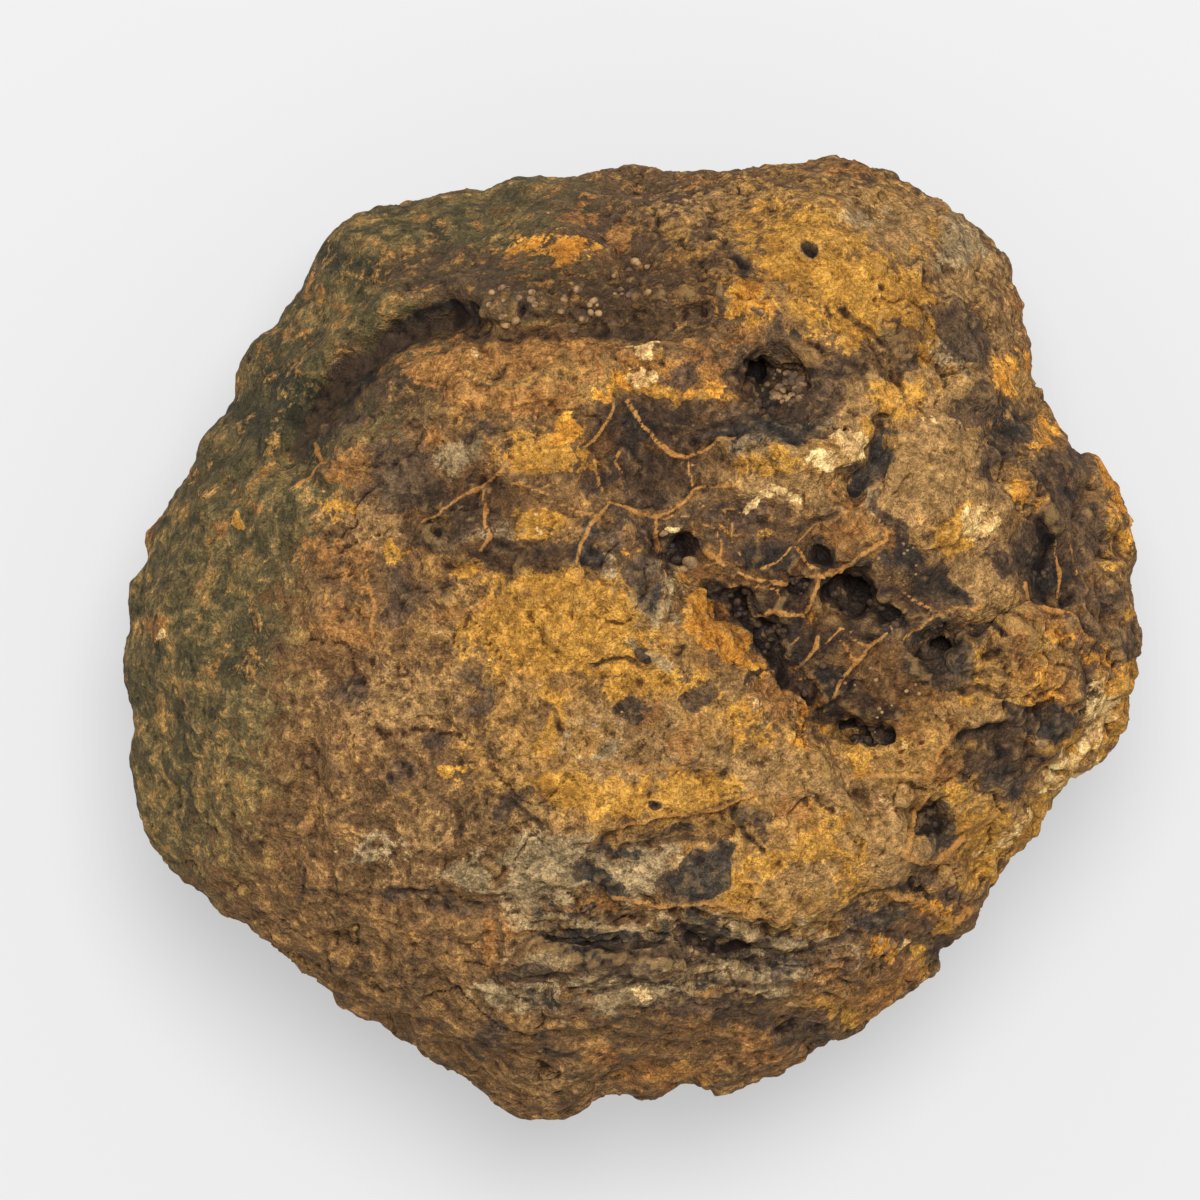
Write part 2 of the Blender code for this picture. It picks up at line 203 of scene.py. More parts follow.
CRACKS = (
    (1.6, 0.2, ((682, 721), (697, 727), (703, 742), (697, 757), (682, 763), (667, 757), (661, 742),
        (667, 727), (682, 721))),
    (12, 0.3, ((300, 455), (312, 425), (330, 393), (350, 368), (385, 345), (425, 332), (466, 318))),
    (9, 0.3, ((466, 338), (520, 336), (580, 334), (640, 330))),
    (6, 1.0, ((700, 602), (716, 628), (738, 652), (764, 672), (788, 684), (806, 700))),
    (4, 0.5, ((600, 662), (620, 658), (640, 664))),
    (6, 0.8, ((546, 938), (580, 944), (620, 948), (660, 944), (690, 934), (712, 924))),
    (5, 0.7, ((500, 976), (540, 979), (580, 966), (620, 957), (668, 955), (700, 962))),
    (6, 0.8, ((690, 964), (722, 948), (760, 944), (800, 950), (850, 932))),
    (4, 0.5, ((590, 992), (640, 978), (690, 980), (740, 986), (790, 980))),
    (4, 0.5, ((560, 922), (580, 912), (600, 918), (630, 914), (660, 908))),
    (5, 0.5, ((640, 958), (600, 972), (570, 990))),
    (5, 0.25, ((480, 790), (500, 797), (514, 803), (530, 816), (541, 828))),
    (6, 1.0, ((1000, 703), (1025, 708), (1048, 700))),
    (6, 1.0, ((958, 642), (985, 632), (1005, 619), (1018, 607))),
    (5, 0.5, ((842, 312), (868, 330), (890, 350), (902, 376))),
    (5, 0.5, ((812, 345), (835, 356), (858, 372), (868, 390))),
    (5, 0.5, ((700, 432), (735, 422), (770, 416), (800, 408))),
    (4, 0.2, ((620, 846), (650, 842), (690, 838), (720, 842), (735, 862))),
    (4, 0.4, ((742, 795), (736, 815), (744, 838), (762, 848))),
    (4, 0.4, ((540, 700), (556, 712), (560, 734))),
    (4, 0.4, ((390, 885), (420, 888), (450, 893), (480, 902))),
    (5, 0.5, ((850, 900), (880, 888), (905, 885))), (4, 0.4, ((960, 690), (985, 686), (1004, 690))),
    (4, 0.4, ((970, 676), (990, 668), (1008, 672))), (4, 0.4, ((985, 655), (1000, 648), (1020, 652))),
    (4, 0.3, ((1015, 716), (985, 725), (960, 740))),
    (4, 0.4, ((760, 520), (785, 530), (812, 522), (838, 512))),
    (4, 0.4, ((600, 548), (622, 556), (640, 570))), (4, 0.4, ((300, 905), (305, 880), (300, 862))),
)

# Broad rises and hollows as lines: half width, mm, places.
SWELLS = (
    (30, -0.7, ((296, 470), (312, 430), (336, 390), (362, 360), (400, 338), (440, 326), (474, 320))),
    (9, -0.5, ((418, 324), (446, 317), (474, 313))),
    (7, 0.45, ((322, 470), (345, 471), (368, 455), (406, 423), (456, 403))),
    (16, 0.9, ((330, 470), (350, 440), (380, 400), (420, 370), (470, 352))),
    (13, 1.6, ((1092, 468), (1112, 500), (1122, 545), (1120, 600), (1117, 660), (1110, 710))),
    (11, -1.4, ((1078, 486), (1092, 520), (1097, 560), (1095, 610), (1098, 660))),
    (13, -0.9, ((1040, 528), (1042, 560), (1040, 596))),
    (10, -1.0, ((1060, 700), (1030, 712), (990, 722), (962, 740))),
    (12, 1.2, ((1100, 735), (1062, 768), (1034, 796), (1012, 832), (990, 858))),
    (10, 1.3, ((690, 604), (712, 634), (740, 662), (776, 690))),
    (11, -1.7, ((728, 596), (752, 626), (780, 658), (808, 696))), (32, -1.5, ((774, 372), (788, 398))),
    (12, 0.9, ((735, 452), (770, 448), (810, 450), (850, 446), (872, 436))),
    (10, -0.7, ((880, 420), (888, 452), (872, 480), (850, 500))),
    (8, 0.5, ((612, 893), (660, 898), (720, 897), (790, 912))),
    (8, -0.8, ((600, 912), (660, 916), (720, 916), (786, 930))),
    (10, 0.4, ((620, 826), (660, 812), (715, 806), (756, 788))),
    (12, -0.35, ((630, 846), (670, 832), (720, 826), (752, 812))),
)

# Stains in px, in the same form, by the finish they show.
STAINS = {
    "ochre": (
        (560, 622, 84, 44, 5, 1.2), (606, 650, 46, 38, 0, 1.1), (512, 640, 40, 30, 0, 0.9),
        (560, 592, 60, 20, 0, 1.0), (548, 456, 48, 20, 5, 0.9), (524, 532, 20, 20, 0, 1.1),
        (546, 518, 12, 10, 0, 1.1), (564, 427, 10, 9, 0, 1.2), (397, 552, 10, 13, 0, 1.1),
        (468, 572, 16, 12, 0, 1.0), (655, 378, 42, 24, -5, 1.2), (716, 384, 28, 18, 0, 1.0),
        (744, 303, 20, 22, 0, 1.0), (766, 318, 9, 16, 0, 0.9), (800, 246, 50, 30, -10, 1.1),
        (842, 280, 42, 26, -25, 1.1), (886, 292, 40, 24, -5, 1.1), (868, 322, 46, 24, -25, 0.9),
        (915, 312, 26, 26, 0, 0.8), (930, 346, 11, 26, 10, 1.3), (905, 400, 34, 20, 0, 0.7),
        (625, 690, 32, 12, 0, 1.0), (662, 686, 36, 14, 5, 1.1), (600, 797, 56, 18, 0, 1.1),
        (570, 790, 26, 18, 0, 1.1), (650, 800, 44, 16, 0, 1.1), (700, 788, 46, 18, 15, 1.0),
        (455, 770, 14, 8, -35, 0.7), (862, 757, 14, 18, 0, 1.2), (905, 744, 9, 6, 0, 1.2),
        (852, 868, 24, 26, 0, 0.55), (846, 884, 20, 12, 0, 0.6), (812, 856, 26, 14, 0, 0.9),
        (985, 838, 30, 28, 20, 1.1), (1006, 826, 20, 14, 0, 1.1), (975, 862, 24, 16, 25, 1.0),
        (1104, 712, 20, 46, 10, 0.8), (1110, 690, 14, 26, 0, 0.9), (1080, 745, 30, 14, 10, 1.0),
        (1052, 775, 20, 12, 35, 0.9), (1112, 548, 10, 24, 0, 0.5), (610, 690, 8, 6, 0, 0.6),
        (742, 882, 20, 20, 0, 0.9), (772, 858, 30, 16, 0, 0.8), (768, 462, 24, 14, 0, 0.8),
        (705, 700, 24, 12, 0, 0.7), (940, 250, 44, 16, -15, 0.5), (960, 785, 18, 18, 0, 0.8),
        (820, 822, 20, 26, 0, 0.8), (745, 720, 30, 24, 0, 0.7), (800, 705, 24, 30, 0, 0.6),
        (604, 430, 8, 6, 0, 0.7), (956, 532, 18, 22, 0, 2.4), (640, 548, 16, 12, 0, 0.9),
        (770, 520, 16, 10, 0, 0.8), (725, 525, 14, 9, 0, 0.9), (340, 500, 14, 12, 0, 0.6),
        (338, 520, 10, 10, 0, 0.7), (240, 522, 7, 6, 30, 1.2), (157, 634, 7, 6, 0, 1.3),
        (262, 473, 4, 4, 0, 1.2), (725, 300, 12, 20, 0, 0.7), (640, 1004, 10, 14, 0, 0.7),
        (680, 1070, 36, 10, 5, 0.8), (850, 1005, 40, 18, 30, 0.7), (1042, 745, 12, 9, 0, 1.0),
        (1100, 655, 5, 16, 0, 0.9), (1032, 668, 14, 34, 0, 0.8), (968, 662, 14, 28, 0, 1.0),
    ),
    "tan": (
        (948, 432, 46, 66, 25, 1.1), (920, 390, 46, 24, 0, 1.0), (900, 490, 40, 30, 10, 1.0),
        (972, 480, 34, 44, 20, 1.0), (852, 424, 34, 26, 0, 1.0), (790, 492, 56, 18, 5, 0.9),
        (870, 400, 30, 24, 0, 0.8), (770, 452, 34, 14, 0, 0.8), (400, 700, 66, 36, 0, 0.7),
        (360, 520, 50, 30, 0, 0.7), (380, 860, 60, 30, 0, 0.45), (470, 620, 40, 40, 0, 0.6),
        (640, 745, 66, 44, 0, 0.9), (740, 770, 60, 34, 0, 0.8), (820, 790, 44, 34, 0, 0.8),
        (960, 570, 54, 40, -10, 0.9), (940, 220, 50, 16, -25, 0.9), (895, 230, 46, 26, -10, 0.9),
        (980, 262, 24, 28, -45, 0.8), (900, 265, 60, 14, 0, 0.8), (700, 208, 44, 20, 0, 0.45),
        (850, 200, 30, 14, 0, 0.6), (960, 295, 34, 26, 0, 0.8), (1000, 340, 22, 28, 0, 0.7),
        (520, 820, 56, 30, 0, 0.6), (440, 830, 60, 30, 0, 0.5), (790, 870, 70, 30, 0, 0.7),
        (700, 905, 60, 16, 0, 0.5), (1078, 742, 36, 13, -24, 1.2), (1042, 788, 20, 13, -50, 1.1),
        (1002, 832, 30, 20, -50, 1.2), (968, 868, 26, 14, -50, 1.0), (1112, 670, 10, 50, 5, 1.0),
        (880, 810, 40, 30, 0, 0.8), (900, 860, 40, 24, 0, 0.9), (840, 820, 40, 40, 0, 0.7),
        (980, 720, 40, 24, 0, 0.5), (520, 470, 30, 16, 0, 0.6), (560, 1080, 60, 16, 0, 0.5),
        (870, 340, 30, 20, 0, 0.7), (960, 600, 50, 20, 0, 0.8),
    ),
    "grey": (
        (566, 862, 66, 28, 8, 1.1), (640, 866, 36, 24, 0, 0.9), (532, 886, 34, 16, 0, 1.0),
        (612, 882, 40, 14, 0, 0.9), (456, 458, 24, 22, 0, 1.1), (400, 486, 30, 18, 0, 0.8),
        (372, 852, 38, 14, 0, 0.7), (470, 872, 24, 18, 0, 1.0), (655, 590, 20, 34, 30, 0.9),
        (612, 566, 18, 22, 0, 0.8), (640, 994, 26, 13, 0, 1.3), (540, 996, 24, 20, 0, 0.9),
        (500, 992, 22, 14, 0, 0.9), (600, 962, 40, 10, 0, 0.7), (665, 985, 16, 10, 0, 0.9),
        (960, 246, 34, 18, -35, 1.0), (956, 350, 22, 24, 0, 0.9), (480, 540, 34, 16, 0, 0.7),
        (590, 745, 30, 20, 0, 0.6), (1000, 768, 24, 24, 0, 0.8), (870, 215, 30, 12, 0, 0.6),
        (700, 985, 40, 8, 0, 0.6), (770, 965, 44, 16, -5, 1.0), (720, 930, 30, 12, 0, 0.6),
        (820, 640, 12, 12, 0, 0.6), (620, 925, 30, 8, 0, 0.7), (700, 952, 150, 36, 0, 0.8),
        (600, 975, 70, 24, 0, 0.7), (860, 478, 16, 10, 0, 0.7), (720, 440, 24, 10, 10, 0.5),
        (530, 912, 24, 12, 0, 0.8),
    ),
    "rust": (
        (682, 742, 18, 17, 0, 0.7), (345, 474, 36, 10, 0, 0.6), (480, 362, 66, 16, 5, 1.0),
        (565, 350, 60, 14, 5, 1.0), (430, 380, 42, 16, 15, 0.9), (510, 402, 66, 12, 5, 1.0),
        (636, 356, 30, 12, 0, 0.9), (700, 372, 46, 22, 0, 1.0), (740, 340, 26, 18, 0, 0.8),
        (490, 945, 12, 24, 0, 1.0), (545, 905, 20, 8, 0, 0.8), (590, 902, 34, 7, 0, 1.0),
        (886, 946, 20, 10, 0, 1.2), (800, 815, 28, 18, 0, 0.8), (960, 772, 26, 16, 0, 0.8),
        (775, 696, 22, 26, 0, 1.0), (552, 250, 46, 22, 0, 0.6), (590, 208, 28, 9, 0, 0.5),
        (612, 238, 16, 20, 0, 0.55), (296, 336, 26, 10, 15, 0.5), (272, 348, 16, 8, 35, 0.5),
        (156, 627, 12, 11, 0, 1.2), (226, 531, 14, 6, 10, 0.8), (214, 546, 6, 5, 0, 0.8),
        (252, 510, 7, 4, 30, 0.7), (262, 474, 4, 4, 0, 0.8), (268, 502, 8, 5, 20, 0.6),
        (311, 287, 8, 13, 0, 0.55), (421, 222, 9, 7, 0, 0.5), (346, 313, 9, 9, 0, 0.55),
        (366, 303, 14, 7, 0, 0.5), (480, 228, 5, 5, 0, 0.6), (840, 168, 30, 8, 10, 0.8),
        (700, 176, 30, 6, 0, 0.5), (660, 1074, 30, 12, 0, 0.8), (860, 985, 50, 22, 30, 0.8),
        (900, 970, 26, 14, 40, 0.9), (930, 920, 30, 8, -30, 0.8), (700, 990, 30, 12, 0, 0.9),
        (755, 1052, 26, 16, 0, 0.7), (690, 1025, 30, 14, 0, 0.7), (802, 612, 9, 10, 0, 0.9),
        (690, 575, 14, 9, 0, 1.0), (800, 560, 22, 12, 0, 0.9), (440, 440, 30, 10, 15, 0.8),
        (330, 560, 50, 26, 0, 0.6), (350, 620, 26, 40, 0, 0.5), (640, 720, 18, 26, 0, 0.6),
        (1040, 680, 16, 26, 0, 1.0), (1006, 352, 20, 10, 30, 0.6), (1018, 312, 12, 12, 0, 1.0),
        (850, 500, 40, 12, 0, 0.6), (840, 525, 26, 12, 0, 0.9), (340, 460, 30, 10, 0, 0.6),
        (520, 925, 16, 12, 0, 0.7), (800, 980, 24, 10, 30, 0.9), (950, 860, 20, 10, 0, 0.5),
    ),
    "orange": (
        (1098, 478, 9, 22, -35, 0.9), (1108, 508, 8, 16, -20, 0.7), (1120, 540, 6, 20, 0, 0.5),
        (1036, 437, 11, 13, 20, 1.3), (1043, 500, 10, 18, 0, 0.75), (1021, 494, 9, 10, 0, 0.8),
        (1008, 362, 14, 9, 35, 1.0), (1004, 384, 8, 20, 0, 1.0), (1058, 632, 20, 6, 10, 0.7),
        (1036, 680, 10, 16, 0, 0.6), (618, 384, 14, 8, 20, 1.2), (600, 398, 9, 7, 0, 1.1),
        (716, 390, 24, 14, 0, 0.8), (742, 300, 18, 18, 0, 0.9), (766, 316, 7, 14, 0, 0.9),
        (564, 428, 9, 9, 0, 1.0), (636, 550, 14, 12, 0, 0.7), (680, 576, 12, 8, 0, 1.2),
        (886, 946, 18, 9, -10, 1.1), (925, 905, 34, 8, 20, 0.9), (802, 614, 10, 11, 0, 1.1),
        (1086, 660, 7, 18, 0, 0.9), (1104, 662, 7, 22, 0, 0.5), (800, 726, 12, 20, 0, 0.6),
        (840, 700, 8, 12, 0, 0.8), (552, 248, 40, 17, 5, 0.72),
    ),
    "slate": (
        (712, 871, 20, 15, 0, 3.2), (700, 884, 22, 6, 0, 3.0), (724, 858, 13, 10, 0, 3.0),
        (768, 424, 40, 12, -8, 1.0), (735, 436, 22, 10, 10, 0.9), (766, 440, 26, 9, -8, 1.1),
        (882, 462, 11, 28, 25, 1.1), (866, 482, 20, 10, -30, 0.9), (768, 556, 32, 20, 10, 1.1),
        (748, 562, 16, 14, 0, 0.9), (905, 556, 16, 18, 30, 0.9), (935, 585, 30, 14, 15, 0.7),
        (600, 880, 22, 12, 20, 0.8), (620, 852, 20, 9, 20, 0.8), (572, 906, 30, 10, 10, 0.7),
        (706, 930, 20, 13, 0, 1.0), (592, 940, 30, 14, 10, 1.1), (640, 935, 40, 10, -5, 0.9),
        (800, 958, 34, 8, -10, 0.7), (828, 680, 14, 24, -35, 0.9), (930, 640, 18, 20, 0, 0.9),
        (944, 655, 14, 18, -20, 1.2), (640, 440, 26, 16, 10, 0.7), (600, 562, 22, 12, 0, 0.7),
        (585, 542, 14, 20, 20, 0.6), (780, 640, 26, 20, 40, 0.9), (1000, 430, 24, 22, 40, 0.6),
        (1040, 560, 18, 40, 0, 0.8), (1045, 724, 26, 10, -15, 0.9), (1000, 775, 24, 20, 0, 0.45),
        # Painted shade: the three ovals on the next line darken the groove at the upper left, which lies in
        # shade.
        (446, 318, 34, 10, -8, 1.4), (395, 342, 34, 12, -25, 1.0), (350, 378, 16, 30, 40, 1.0),
        (650, 590, 10, 22, 20, 0.7), (862, 926, 40, 9, -20, 0.7), (545, 1000, 20, 12, 0, 0.7),
        (690, 985, 40, 8, 0, 0.6),
    ),
    "dark": (
        (640, 424, 52, 24, 0, 1.1), (700, 426, 40, 24, -10, 1.1), (652, 472, 54, 22, 0, 1.1),
        (645, 496, 26, 10, 0, 1.0), (600, 480, 20, 14, 0, 0.9), (398, 474, 36, 30, 0, 0.9),
        (480, 436, 24, 12, 0, 1.0), (522, 562, 56, 14, 0, 1.1), (575, 556, 26, 12, 0, 1.1),
        (470, 520, 20, 30, 0, 0.8), (440, 500, 36, 12, 15, 0.9), (440, 536, 26, 12, 0, 0.9),
        (640, 536, 34, 16, 0, 1.0), (650, 580, 22, 26, 20, 0.8), (770, 548, 40, 22, 0, 1.1),
        (740, 515, 44, 16, 0, 1.0), (822, 552, 14, 16, 0, 1.2), (770, 425, 60, 12, 12, 1.1),
        (776, 342, 14, 24, -30, 1.1), (825, 392, 22, 18, 30, 1.1), (882, 448, 10, 26, 0, 1.0),
        (866, 478, 22, 12, 20, 1.0), (1000, 446, 26, 40, 30, 1.0), (975, 408, 26, 16, -20, 1.0),
        (1045, 470, 14, 26, 0, 0.8), (950, 322, 18, 26, 0, 0.9), (968, 350, 30, 24, 0, 0.8),
        (1040, 556, 26, 46, 0, 1.3), (1070, 598, 12, 26, 0, 1.2), (1005, 560, 14, 12, 0, 0.8),
        (930, 590, 34, 24, 15, 1.0), (905, 560, 20, 16, 0, 0.9), (874, 630, 50, 16, -10, 1.0),
        (815, 640, 24, 18, 0, 1.1), (770, 610, 34, 26, -20, 1.1), (842, 690, 18, 30, -40, 1.2),
        (865, 704, 24, 9, 0, 0.8), (820, 716, 16, 9, 0, 0.8), (700, 702, 18, 13, -20, 1.1),
        (628, 712, 15, 12, 0, 1.0), (474, 668, 10, 22, 40, 0.9), (356, 690, 14, 20, 30, 0.9),
        (346, 424, 30, 10, -10, 1.0), (690, 884, 26, 10, 0, 1.2), (592, 850, 20, 12, -20, 1.0),
        (588, 872, 18, 9, 0, 0.9), (620, 946, 74, 13, 3, 1.2), (556, 934, 22, 12, 0, 1.1),
        (706, 950, 38, 9, 20, 1.2), (765, 944, 40, 6, 0, 0.7), (868, 925, 46, 9, 25, 0.9),
        (892, 902, 16, 9, 0, 0.8), (934, 944, 30, 14, 35, 1.0), (935, 826, 20, 24, 0, 1.3),
        (925, 872, 14, 9, 0, 0.8), (948, 896, 18, 12, 0, 0.8), (996, 768, 34, 28, 0, 1.1),
        (1004, 744, 44, 14, 20, 1.0), (1042, 720, 34, 14, 15, 1.1), (1012, 722, 22, 10, 0, 1.0),
        (1078, 684, 12, 30, 0, 0.9), (1090, 640, 14, 20, 0, 0.8), (1064, 500, 14, 16, 0, 1.1),
        (1082, 540, 22, 44, 0, 0.6), (752, 826, 12, 14, 0, 0.7), (664, 832, 34, 7, 0, 0.7),
        (790, 1032, 18, 16, 0, 1.3), (818, 1034, 12, 14, 0, 1.1), (742, 1018, 34, 12, 0, 1.0),
        (552, 1046, 28, 9, 0, 0.8), (482, 1034, 16, 18, 0, 0.8), (438, 744, 14, 10, 0, 0.9),
        (404, 772, 14, 11, 0, 0.9), (686, 374, 20, 10, -30, 0.9), (1070, 466, 30, 14, -40, 0.9),
        (1120, 640, 12, 14, 0, 1.2), (1100, 600, 14, 14, 0, 0.7), (560, 1000, 40, 10, 0, 0.6),
        (640, 970, 70, 8, 5, 0.8), (540, 975, 26, 9, 0, 1.0), (830, 965, 30, 9, 25, 0.7),
        (700, 1000, 60, 7, 0, 0.6), (460, 904, 34, 12, 0, 0.6), (410, 890, 30, 8, 0, 0.7),
        (510, 806, 26, 12, -30, 0.9), (524, 312, 14, 10, 0, 0.9), (600, 304, 26, 10, 0, 0.6),
        (740, 268, 16, 8, 0, 0.9), (905, 330, 18, 10, 0, 0.6), (908, 362, 14, 18, 0, 0.9),
        (840, 372, 30, 12, -25, 0.8), (590, 530, 14, 14, 0, 0.8), (480, 700, 12, 30, 30, 0.6),
        (395, 590, 16, 30, 0, 0.8), (420, 600, 20, 16, 0, 0.6), (760, 370, 34, 36, 0, 1.0),
        (790, 405, 40, 16, 0, 0.9), (895, 690, 24, 12, 0, 0.55), (940, 660, 26, 24, 20, 1.1),
        (965, 635, 26, 9, 20, 0.9),
    ),
    "pit": (
        (757, 368, 14, 13, 0, 1.5), (768, 402, 10, 12, 40, 1.0), (812, 257, 8, 6, -30, 1.5),
        (652, 804, 5, 5, 0, 1.5), (848, 724, 12, 7, -10, 1.5), (867, 737, 13, 11, 0, 1.5),
        (889, 732, 10, 6, -20, 1.5), (942, 650, 14, 18, -30, 1.4), (855, 592, 31, 29, 0, 1.4),
        (888, 618, 18, 12, 20, 1.2), (676, 556, 23, 20, 0, 1.1), (712, 589, 9, 8, 0, 1.4),
        (742, 604, 18, 10, 40, 1.3), (768, 634, 20, 22, 0, 1.2), (797, 586, 15, 8, -15, 1.3),
        (823, 550, 8, 11, 0, 1.3), (936, 833, 16, 9, 0, 1.2), (446, 528, 7, 4, 0, 1.2),
        # Painted shadow: the thin oval at 985 px across darkens the shadow line under the ledge at the foot
        # of the tan mound.
        (1022, 708, 24, 5, -10, 1.3), (985, 630, 30, 4, 22, 1.2), (795, 655, 20, 10, 20, 1.1),
        (800, 340, 6, 14, -20, 0.9), (830, 712, 10, 8, 0, 1.1), (524, 312, 8, 7, 0, 0.9),
        (1070, 612, 9, 8, 0, 1.2), (766, 672, 30, 4, -40, 1.1), (390, 778, 3, 4, 0, 1.2),
        (917, 885, 6, 4, 0, 1.2), (845, 432, 3, 2.4, 0, 1.2), (1066, 492, 9, 7, 0, 1.1),
        (740, 268, 8, 5, 0, 1.0), (600, 661, 12, 3, 0, 0.8),
    ),
    "cream": (
        # Pale crust and painted highlight: the first two ovals, on the ridge near 850 px across, and the
        # one at 973 px lighten faces that catch the lamp.
        (852, 450, 22, 13, 20, 1.5), (836, 464, 22, 9, 10, 1.2), (782, 500, 16, 6, 5, 0.6),
        (973, 527, 13, 18, 0, 2.2), (644, 374, 16, 14, 0, 1.0), (884, 294, 14, 7, 0, 0.6),
        (905, 744, 6, 4, 0, 1.1), (885, 806, 8, 6, 0, 0.5), (479, 358, 3.4, 3.4, 0, 2.2),
        (650, 343, 13, 5, -5, 0.9), (645, 992, 18, 9, 0, 0.6), (663, 533, 5, 4, 0, 1.3),
        (690, 564, 5, 7, 0, 1.3), (900, 945, 4, 5, 0, 1.2), (760, 706, 8, 8, 0, 0.5),
        (530, 520, 8, 6, 0, 0.7), (533, 536, 4, 4, 0, 1.2), (1060, 766, 28, 8, -32, 0.9),
        # Painted light: the oval at 1092 px across lightens the lower right rim, which faces away from the
        # lamp.
        (1092, 716, 13, 30, 12, 1.1), (1006, 828, 24, 10, -50, 0.8), (940, 420, 16, 8, 0, 0.5),
        (600, 690, 8, 5, 0, 0.5), (1000, 835, 14, 8, 0, 0.5), (158, 636, 6, 4, 0, 1.0),
        (930, 350, 6, 16, 0, 0.5),
    ),
}

# Long stains in px: half width, strength, places.
STREAKS = {
    "orange": (
        (15, 2.6, ((700, 612), (712, 630), (729, 647))), (9, 2.2, ((729, 647), (748, 662), (766, 674))),
    ),
    "ochre": (
        (7, 1.0, ((612, 386), (640, 392), (670, 396), (700, 398), (730, 388))),
        (7, 0.8, ((1120, 620), (1116, 680), (1104, 730))),
        (8, 1.1, ((1100, 745), (1060, 772), (1035, 800), (1012, 832), (985, 862), (960, 885))),
        (5, 1.0, ((866, 424), (868, 440), (858, 460))),
        (6, 0.9, ((958, 900), (930, 940), (900, 975), (860, 1010))),
        (8, 0.8, ((545, 690), (560, 716), (548, 740))), (7, 0.8, ((590, 690), (620, 690), (650, 700))),
    ),
    "rust": (
        (9, 2.0, ((724, 606), (744, 630), (767, 654), (790, 678))),
        (7, 1.0, ((820, 700), (800, 720), (806, 745))),
        (8, 1.0, ((1030, 610), (1050, 618), (1072, 625), (1086, 650), (1080, 690))),
        (7, 1.0, ((1036, 690), (1030, 670), (1022, 650), (1010, 640))),
        (5, 0.9, ((896, 692), (902, 720), (926, 740), (934, 776))),
        (5, 0.8, ((930, 700), (950, 730), (945, 770))),
        (8, 0.8, ((600, 1050), (650, 1068), (700, 1070), (740, 1056))),
        (6, 0.8, ((880, 520), (900, 560), (930, 575), (960, 600))),
        (6, 0.7, ((520, 600), (480, 606), (440, 620))), (7, 0.7, ((560, 392), (600, 372), (640, 362))),
    ),
    "dark": (
        (6, 1.3, ((736, 596), (756, 628), (780, 660), (806, 694))),
        (5, 1.1, ((602, 405), (590, 425), (583, 445))), (7, 1.0, ((640, 405), (664, 440), (690, 448))),
        (7, 1.0, ((612, 512), (636, 524), (664, 526), (690, 512))),
        # Painted shadow: the second streak on the next line darkens the shadow at the foot of the tan
        # mound.
        (8, 1.2, ((738, 420), (766, 424), (800, 414))), (6, 1.2, ((955, 642), (985, 634), (1010, 618))),
        (8, 1.0, ((576, 930), (600, 941), (624, 936))), (6, 0.9, ((680, 933), (700, 938), (716, 932))),
        (6, 0.9, ((742, 962), (790, 952), (850, 938))), (5, 0.8, ((620, 966), (670, 962), (720, 966))),
        (5, 0.7, ((620, 1010), (690, 1006), (770, 996))),
        (8, 0.9, ((1058, 520), (1062, 560), (1068, 600))),
        (5, 0.9, ((1088, 500), (1092, 540), (1094, 590))),
        (6, 1.0, ((880, 500), (905, 552), (930, 590))), (6, 0.9, ((700, 530), (730, 545), (752, 562))),
        (5, 0.9, ((612, 456), (640, 460), (668, 462))), (6, 0.9, ((830, 700), (860, 712), (900, 716))),
        (5, 0.8, ((985, 690), (1000, 700), (1020, 712))),
        (6, 0.8, ((955, 742), (985, 730), (1015, 720))),
    ),
    "grey": (
        (6, 1.1, ((738, 446), (766, 440), (800, 428), (824, 420))),
        (5, 0.9, ((650, 560), (662, 585), (676, 612))), (6, 0.9, ((520, 905), (560, 915), (600, 922))),
        (7, 1.0, ((570, 982), (640, 990), (720, 982))), (6, 1.0, ((548, 958), (590, 960), (640, 952))),
        (5, 1.0, ((700, 950), (750, 944), (800, 934))), (5, 0.9, ((640, 930), (668, 938))),
        (5, 0.9, ((600, 1002), (650, 1000), (700, 996))),
        (7, 0.8, ((800, 655), (822, 668), (836, 684))), (7, 0.8, ((860, 470), (872, 490), (880, 505))),
        (6, 0.8, ((630, 640), (650, 652), (668, 668))),
    ),
    "cream": (
        (6, 0.6, ((806, 458), (836, 462))), (5, 1.0, ((826, 442), (848, 438), (862, 446))),
        (4, 0.9, ((752, 512), (772, 500), (800, 498))), (4, 0.7, ((1000, 820), (985, 840), (968, 850))),
        (4, 0.7, ((1098, 750), (1070, 768), (1050, 784))),
    ),
}

# Where the crust lies in thin level leaves, and where it is wrinkled, in the form of the stains
LAYERED = ((690, 950, 180, 56, 0, 1.0), (560, 950, 90, 60, 8, 0.8), (830, 960, 70, 44, -20, 0.9))
LEAF_PX = 11.0
LEAF_MM = 0.5
FOLD_MM = 1.9
FOLDED = ((1020, 690, 62, 74, 0, 1.0), (1075, 660, 34, 60, 0, 0.9))

# Where the crust is pebbly rather than smooth, in the same form
PEBBLY = (
    (560, 306, 90, 26, 0, 1.0), (680, 296, 60, 30, 0, 1.0), (785, 390, 40, 34, 0, 1.0),
    (880, 690, 60, 50, 0, 0.8), (650, 440, 50, 40, 0, 0.6), (600, 720, 80, 60, 0, 0.5),
    (760, 600, 90, 80, 0, 0.7), (380, 640, 70, 60, 0, 0.4), (1030, 650, 60, 60, 0, 0.5),
)
